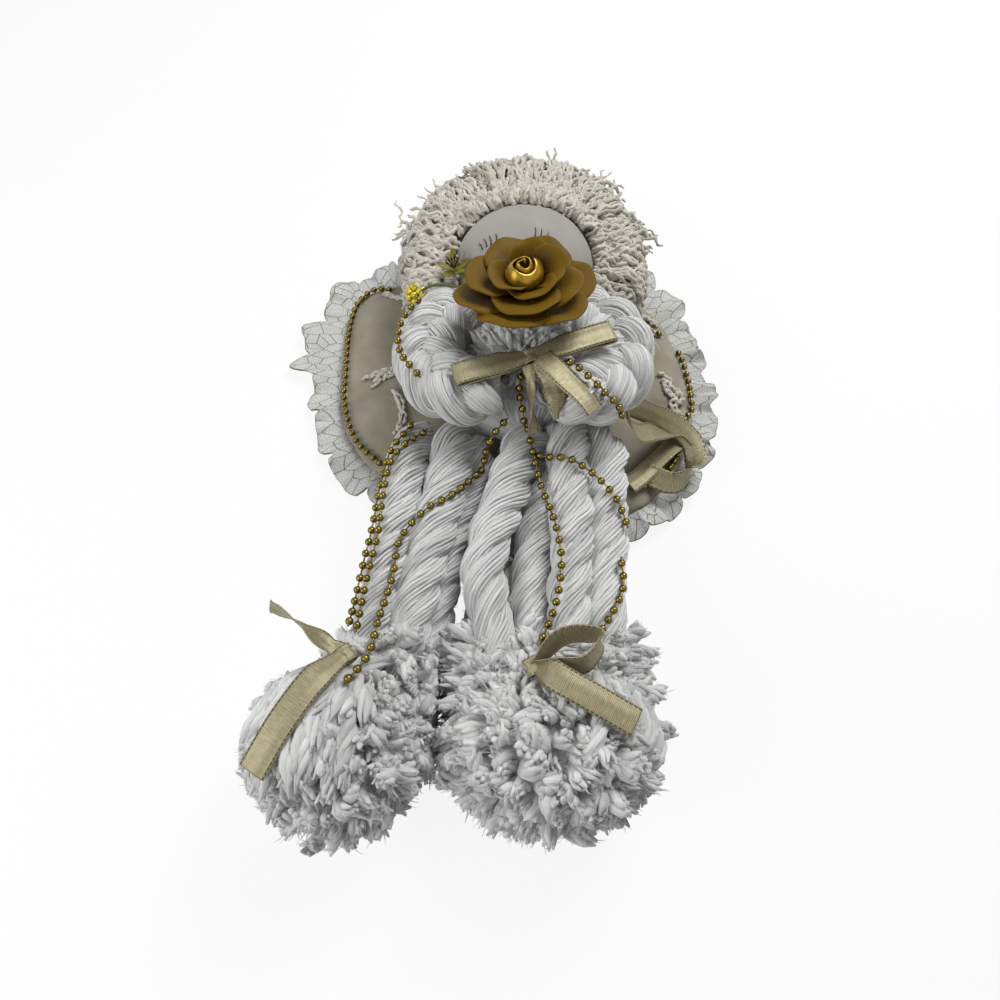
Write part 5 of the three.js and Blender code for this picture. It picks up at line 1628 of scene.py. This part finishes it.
tails = {
    "chest_ribbon_twist": {
        "route": [[11, 15, knot[2]], [12, 8, 62], [12.5, 2, 59], [13, -3, 55], [13, -7, 50]],
        "side": (1, 0, 0), "taper": lambda t: 0.35 + 0.25 * np.abs(np.cos(2.4 * np.pi * t)),
        "twist": lambda t: 150 * t,
    },
    "chest_ribbon_spindle": {
        "route": [[15, 16, knot[2]], [20, 9, 66], [21.5, 2, 63], [21.5, -5, 58]], "side": (1, 0, 0),
        "taper": lambda t: 0.3 + 0.7 * np.sin(np.pi * np.minimum(1, 0.1 + t)) ** 0.7,
        "twist": lambda t: 25 * np.sin(5 * t),
    },
    "chest_ribbon_wide": {
        "route": [[16, 17, knot[2] - 0.6], [24, 8, 67], [31, 1, 65], [36, -5, 59]], "side": (1, 1, 0),
        "taper": plainTaper, "twist": lambda t: -18 * t,
    },
}
tailPieces = []
for name, tail in tails.items():
    over = chestTrees + (feelers(tailPieces) if tailPieces else [])
    path = laidOver(tail["route"], over, 0.5, 2.5, 3.0)
    grids = [ribbonGrid(path, tail["side"], tail["taper"], tail["twist"])]
    tailPieces.append(ribbonPiece(f"{name}_tail", grids, "torso", [name]))

# Long ribbon from under the right arm that turns back over the wing, and three short strips beside it
wingRoute = [[52, 15, 40], [64, 18, 24], [76, 17, 14], [86, 9, 12], [85, -4, 12], [76, -10, 12], [64, -4, 13]]
wingStrips = [
    {
        "route": [[50, 8, 46], [58, 4, 34], [68, 10, 24], [78, 14, 15], [84, 8, 12]],
        "side": (0.4, -0.7, 0.5), "taper": plainTaper, "twist": lambda t: 35 * np.sin(4 * t),
    },
    {
        "route": [[51, 62, 30], [58, 68, 22], [62, 73, 17], [65, 78, 12.5]], "side": (0.7, -0.5, 0.4),
        "taper": lambda t: np.full_like(t, 0.5), "twist": lambda t: 40 * t,
    },
    {
        "route": [[82, 13, 12.5], [70, 2, 13], [62, -6, 13], [56, -11, 14]], "side": (0.7, -0.7, 0.2),
        "taper": plainTaper, "twist": lambda t: 12 * np.sin(5 * t),
    },
]
wingTrees = padTrees + feelers([stringPieces["right_wing_beads_side"], stringPieces["right_wing_beads_low"]])
wingPath = laidOver(wingRoute, wingTrees, 0.6, 3.0, 3.0)
grids = [ribbonGrid(wingPath, (0.5, 1, 0.6), plainTaper, lambda t: 18 * np.sin(7 * t))]
for strip in wingStrips:
    grids.append(ribbonGrid(smoothPath(strip["route"], 60), strip["side"], strip["taper"], strip["twist"]))
ribbonPiece("wing_ribbon_loop", grids, "torso", ["wing_ribbon"])

# Ankle ribbons: a knot over the tie, a long tail laid on the pompom, and a short piece whose points
# are counted from the knot: a free end on the left, a loop on the right
ankleBows = {
    "left": {
        "knot": (-53, -96), "way": (0.8, 0.6, 0), "tail": [[-64, -111], [-72, -124], [-78, -134]],
        "clear": 1.3, "tailSide": (1, -0.7, 0), "steps": 60,
        "short": [[0, 0, 0], [-9, 6, 3], [-18, 12, 5], [-26, 16, 5]],
        "shortSide": (0.5, 1, 0), "taper": lambda t: 0.55 + 0.3 * np.abs(np.cos(2.6 * np.pi * t)),
        "twist": lambda t: 120 * t,
    },
    "right": {
        "knot": (12, -99), "way": (0.9, 0.4, 0), "tail": [[22, -107], [33, -113], [44, -119]], "clear": 1.6,
        "tailSide": (0.4, 1, 0), "steps": 90,
        "short": [[0, 0, 0], [10, 8, 9], [22, 7, 8], [17, -1, 8], [7, -1, 4], [0, 0, 0]],
        "shortSide": (-0.2, 0.4, 1), "taper": loopTaper, "twist": None,
    },
    "knotSize": 3.6, "knotUp": 1.6, "feel": 3, "tailReach": 4.0,
}
for side in sides:
    look = ankleBows[side]
    over = legTrees[side] + feelers([p for n, p in stringPieces.items() if n.startswith(f"{side}_leg")])
    x, y = look["knot"]
    top = heightOver(over, x * mm, y * mm, ankleBows["feel"] * mm) / mm + ankleBows["knotUp"]
    tied = np.array([x, y, top])
    tailPath = laidOver([[x, y, top]] + look["tail"], over, look["clear"], 3, ankleBows["tailReach"])
    shortPath = smoothPath([tied + step for step in np.array(look["short"])], look["steps"])
    grids = [
        knotGrid(tied, unit(np.array(look["way"])), ankleBows["knotSize"]),
        ribbonGrid(tailPath, look["tailSide"], tailTaper),
        ribbonGrid(shortPath, look["shortSide"], look["taper"], look["twist"]),
    ]
    ribbonPiece(
        f"{side}_ankle_bow", grids, f"{side}_leg", [f"{side}_ankle_ribbon"],
    )
print("ribbons tied")

# Rose: cupped satin petals in three rings on a tilted post, with a rolled foil bud
rose = {
    "x": 10, "y": 44.5, "tilt": -0.3, "petalThick": 0.45, "petalRows": 24, "petalCols": 29,
    "budUp": 12.05, "budAside": -1.5, "budLean": 0.3, "budTurns": 2.1, "budThick": 0.5, "budRows": 90,
    "budCols": 16, "budCore": 1.2, "budWide": 7.2, "budDeep": 6, "budTall": 11.0,
}
budLow, budHigh = [np.array(c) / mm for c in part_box("rose_bud")]
roseZ = (budLow[2] + budHigh[2]) / 2 - rose["budUp"] * math.cos(rose["tilt"])
# A ring's foot and lip are given as distance from the post and height on it; backShort is for the
# petals by the head
petalRings = {
    "rose_outer_petals": {
        "petals": 6, "phase": 0.35, "span": 0.8, "foot": (5.5, -2.5), "lip": (30.0, 4.0), "steep": 1.5,
        "curl": 3.4, "lean": 0.0, "backShort": 0.18,
    },
    "rose_middle_petals": {
        "petals": 5, "phase": 0.9, "span": 0.98, "foot": (5.0, 0.2), "lip": (24.0, 11.0), "steep": 1.8,
        "curl": 2.6, "lean": 0.14, "backShort": 0.14,
    },
    "rose_inner_petals": {
        "petals": 4, "phase": 0.1, "span": 1.15, "foot": (4.4, 2.2), "lip": (15.5, 15.0), "steep": 2.0,
        "curl": 1.8, "lean": 0.26, "backShort": 0.06,
    },
}


# From the post's own frame to the doll's; lean tips a ring or the bud forwards on the post
def onRose(local, lean=0.0):
    turned = tipped(tipped(local.reshape(-1, 3), lean), rose["tilt"])
    return ((turned + np.array([rose["x"], rose["y"], roseZ])) * mm).reshape(local.shape)


# Each petal rises steeply from its foot, then opens to a rounded lip that curls back
def petalParts(ring, number):
    t = np.linspace(0, 1, rose["petalRows"])[:, None]
    s = np.linspace(-1, 1, rose["petalCols"])[None]
    middleTurn = ring["phase"] + 2 * np.pi * (number + 0.1 * rng.normal()) / ring["petals"]
    rounded = 1 - 0.3 * np.abs(s) ** 2.3
    size = rng.uniform(0.92, 1.03)
    opened = t ** 1.25 * rounded * size
    short = 1 - ring["backShort"] * max(0.0, math.sin(middleTurn))
    footFar, footUp = ring["foot"]
    lipFar, lipUp = ring["lip"]
    far = footFar + (lipFar * short - footFar) * opened
    turn = middleTurn + s * ring["span"] * (0.68 + 0.32 * np.sin(np.pi * np.clip(0.1 + t * 0.75, 0, 1)))
    climb = 1 - (1 - t * rounded) ** ring["steep"]
    rise = footUp + (lipUp - footUp) * climb * rng.uniform(0.9, 1.08)
    lip = -ring["curl"] * np.clip(t - 0.74, 0, 1) ** 1.5 * 6 * (0.35 + 0.65 * s * s)
    overlap = 1.3 * s * t
    ripple = 0.8 * np.sin(4 * s + 2.0 * number) * t ** 3 + 0.4 * np.sin(9 * s + number) * t ** 4
    dish = -1.6 * (1 - s ** 2) * np.sin(np.pi * t)
    local = np.stack([far * np.cos(turn), far * np.sin(turn), rise + lip + overlap + ripple + dish], axis=-1)
    share = t * np.ones_like(s)
    lie = np.stack([share, s * np.ones_like(t), np.full(share.shape, 7.0 * number + lipFar)], axis=-1)
    return thickGrid(onRose(local, ring["lean"]), rose["petalThick"], lie)


for name, ring in petalRings.items():
    parts = [petalParts(ring, k) for k in range(ring["petals"])]
    makePiece(name.replace("_petals", "_satin"), parts, "petal", "torso", [name])


# A strip rolled up from the middle outwards
def budParts():
    u = np.linspace(0, 1, rose["budRows"])[:, None]
    v = np.linspace(0, 1, rose["budCols"])[None]
    turn = 2 * np.pi * rose["budTurns"] * u
    belly = np.sin(np.pi * (0.2 + 0.62 * v)) ** 0.8
    far = (rose["budCore"] + rose["budWide"] * u) * belly
    high = rose["budUp"] - rose["budDeep"] + rose["budTall"] * v * (0.8 + 0.2 * (1 - u))
    high = high + 0.7 * np.sin(2 * turn) * v
    local = np.stack(
        [rose["budAside"] + far * np.cos(turn), far * np.sin(turn), high * np.ones_like(turn)], axis=-1,
    )
    lie = np.stack([u * np.ones_like(v), v * np.ones_like(u), np.zeros(far.shape)], axis=-1)
    return thickGrid(onRose(local, rose["budLean"]), rose["budThick"], lie)


makePiece("rose_bud_foil", [budParts()], "foil", "torso", ["rose_bud"])


def roundParts(centre, half, rows=14, cols=18, lump=0.0):
    polar, turn, skin = ballRows(rows, cols, 0.05)
    swell = 1 + lump * np.sin(3 * turn) * np.sin(polar)
    return closedSkin((np.array(centre) + np.array(half) * skin * swell[..., None]) * mm)


# The profile's numbers are distance from the post and height on it; the cup has a lobe for each sepal
calyx = {
    "profile": (
        (2.8, -20), (3.0, -14), (3.1, -8.4), (5.5, -6.6), (8.4, -4.6), (8.9, -3.6), (7.0, -2.2), (3.3, -1.2),
        (3.1, 2), (3.0, 5),
    ),
    "lobes": 5, "lobe": 0.06, "stemRadius": 5, "cols": 30,
}


def calyxParts():
    turn = np.linspace(0, 2 * np.pi, calyx["cols"], endpoint=False)
    rings = []
    for far, high in calyx["profile"]:
        wide = far * (1 + calyx["lobe"] * np.cos(calyx["lobes"] * turn) * (far > calyx["stemRadius"]))
        level = np.full(len(turn), float(high))
        rings.append(np.stack([wide * np.cos(turn), wide * np.sin(turn), level], axis=1))
    return closedSkin(onRose(np.stack(rings)))


makePiece("rose_calyx_cup", [calyxParts()], "stem", "torso", ["rose_calyx"])

# Filler flower and berry pick, tucked in beside the rose
filler = {
    "place": (-20, 72), "up": 2.6, "sepals": 5, "halfWidth": 1.7, "length": 6.6, "thick": 0.35, "stamens": 9,
    "stamenRadii": (0.25, 0.25, 0.25, 0.25, 0.25, 0.3, 0.5, 0.6, 0.4), "stalk": 0.9,
}
berry = {
    "place": (-36, 65), "up": 3.0, "grains": 34, "half": (4.6, 4.8, 2.6), "grain": (1.15, 1.6), "stalk": 0.7,
}
fillerAt = np.array([*filler["place"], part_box("filler_flower")[0][2] / mm + filler["up"]])
berryAt = np.array([*berry["place"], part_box("berry_cluster")[0][2] / mm + berry["up"]])


def sepalParts(number):
    t = np.linspace(0, 1, 14)[:, None]
    s = np.linspace(-1, 1, 7)[None]
    turn = 2 * np.pi * number / filler["sepals"] + 0.4
    wide = filler["halfWidth"] * np.sin(np.pi * (0.1 + 0.88 * t)) ** 0.8
    far = 0.8 + filler["length"] * t
    high = 3.4 * t ** 1.3 - 0.5 * (1 - s ** 2) + 1.0 + 1.5 * np.sin(2 * number) * t
    x = far * math.cos(turn) - wide * s * math.sin(turn)
    y = far * math.sin(turn) + wide * s * math.cos(turn)
    grid = (fillerAt + np.stack([x, y, high * np.ones_like(s)], axis=-1)) * mm
    lie = np.stack([t * np.ones_like(s), s * np.ones_like(t), np.zeros(x.shape)], axis=-1)
    return thickGrid(grid, filler["thick"], lie)


sepals = [sepalParts(k) for k in range(filler["sepals"])]
sepals.append(roundParts(fillerAt + [0, 0, 0.8], (1.8, 1.8, 1.9)))
makePiece("filler_sepals", sepals, "sepal", "torso", ["filler_flower"])
stamenPaths = []
for k in range(filler["stamens"]):
    turn = 2 * np.pi * k / filler["stamens"]
    away = np.array([math.cos(turn), math.sin(turn), 0])
    lean = 1.2 + 0.8 * (k % 3)
    foot = fillerAt + 0.5 * away + [0, 0, 2.0]
    points = [foot, foot + 0.5 * lean * away + [0, 0, 2.2], foot + lean * away + [0, 0, 4.6]]
    stamenPaths.append(smoothPath(points, len(filler["stamenRadii"])))
stamenPaths = np.stack(stamenPaths)
stamenRadii = np.broadcast_to(np.array(filler["stamenRadii"]) * mm, stamenPaths.shape[:2])
makePiece("filler_stamens", [tubes(stamenPaths, stamenRadii, 6)], "stamen", "torso")
cheekTrees = feelers([headPiece, armPieces[0]])


# A stalk over the cheek and the arm, ending in its flower
def stemPiece(name, route, flowerAt, radius, node):
    steps = 30
    path = evenPath(laidOver(route + [flowerAt.tolist()], cheekTrees, radius + 0.2, 1.5, 0.5), steps)
    rings = np.full((1, steps), radius * mm) * (1 + 0.08 * np.sin(np.linspace(0, 30, steps)))
    makePiece(name, [tubes(path[None], rings, 6)], "stem", "torso", [node])


fillerRoute = [[-9, 60, 60], [-13, 65, 58], [-18, 70, 57]]
berryRoute = [[-14, 58, 60], [-22, 61, 56.5], [-30, 63, 56]]
stemPiece("filler_stalk", fillerRoute, fillerAt, filler["stalk"], "filler_stem")
stemPiece("berry_stalk", berryRoute, berryAt, berry["stalk"], "berry_stem")
berryParts = []
for way in spreadDirections(berry["grains"]):
    if way[2] > -0.5:
        at = berryAt + way * berry["half"] * rng.uniform(0.9, 1.1) + [0, 0, 0.8]
        berryParts.append(roundParts(at, np.full(3, rng.uniform(*berry["grain"])), 9, 12, 0.05))
makePiece("berry_pick", berryParts, "berry", "torso", ["berry_cluster"])
print("flowers made")

# Floor, world and soft studio lamps
# The camera sees the floor and the world as plain white; the light that they throw on the doll is weaker,
# in the paper's own colour from the floor and at the dim strength from the world
studio = {"floorSize": 3.0, "paper": "#fbfbfa", "whiteShare": 0.88, "dim": 0.13, "bright": 1.0}
floorMesh = bpy.data.meshes.new("floor")
floorMesh.from_pydata(
    [(x * studio["floorSize"], y * studio["floorSize"], 0) for x, y in ((-1, -1), (1, -1), (1, 1), (-1, 1))],
    [], [(0, 1, 2, 3)],
)
floor = bpy.data.objects.new("floor", floorMesh)
scene.collection.objects.link(floor)
paper, paperTree, paperShader = startMaterial("whitePaper", Roughness=0.95)
paperShader.inputs["Base Color"].default_value = linear(studio["paper"])


# 1 for what the camera sees, straight on, in a mirror or through glass, and 0 for light on its way
def seenDirectly(tree):
    sight = addNode(tree, "ShaderNodeLightPath")
    mirrored = addNode(
        tree, "ShaderNodeMath", {"operation": "MAXIMUM"},
        {0: sight.outputs["Is Camera Ray"], 1: sight.outputs["Is Glossy Ray"]},
    )
    through = addNode(
        tree, "ShaderNodeMath", {"operation": "MAXIMUM"},
        {0: mirrored.outputs[0], 1: sight.outputs["Is Transmission Ray"]},
    )
    return through.outputs[0]


whiteShare = addNode(
    paperTree, "ShaderNodeMath", {"operation": "MULTIPLY", 1: studio["whiteShare"]},
    {0: seenDirectly(paperTree)},
)
glow = addNode(paperTree, "ShaderNodeEmission", {"Color": (1, 1, 1, 1), "Strength": 1.0})
mixed = addNode(
    paperTree, "ShaderNodeMixShader", None,
    {0: whiteShare.outputs[0], 1: paperShader.outputs[0], 2: glow.outputs[0]},
)
paperTree.links.new(mixed.outputs[0], paperTree.nodes["Material Output"].inputs["Surface"])
floorMesh.materials.append(paper)

world = bpy.data.worlds.new("studio")
scene.world = world
world.use_nodes = True
sky = world.node_tree.nodes["Background"]
sky.inputs["Color"].default_value = (1, 1, 1, 1)
strength = addNode(
    world.node_tree, "ShaderNodeMapRange", {"To Min": studio["dim"], "To Max": studio["bright"]},
    {"Value": seenDirectly(world.node_tree)},
)
world.node_tree.links.new(strength.outputs[0], sky.inputs["Strength"])

lamps = {
    "keyLamp": {"place": (0.3, 0.42, 0.68), "aim": (0, 0, 0.03), "size": 0.4, "power": 5.4},
    "fillLamp": {"place": (-0.56, -0.3, 0.42), "aim": (-0.05, -0.1, 0.03), "size": 0.5, "power": 2.8},
}
for name, lamp in lamps.items():
    data = bpy.data.lights.new(name, "AREA")
    data.size = lamp["size"]
    data.energy = lamp["power"]
    light = bpy.data.objects.new(name, data)
    light.location = lamp["place"]
    light.rotation_euler = (Vector(lamp["aim"]) - Vector(lamp["place"])).to_track_quat("-Z", "Y").to_euler()
    scene.collection.objects.link(light)
print("stage set")
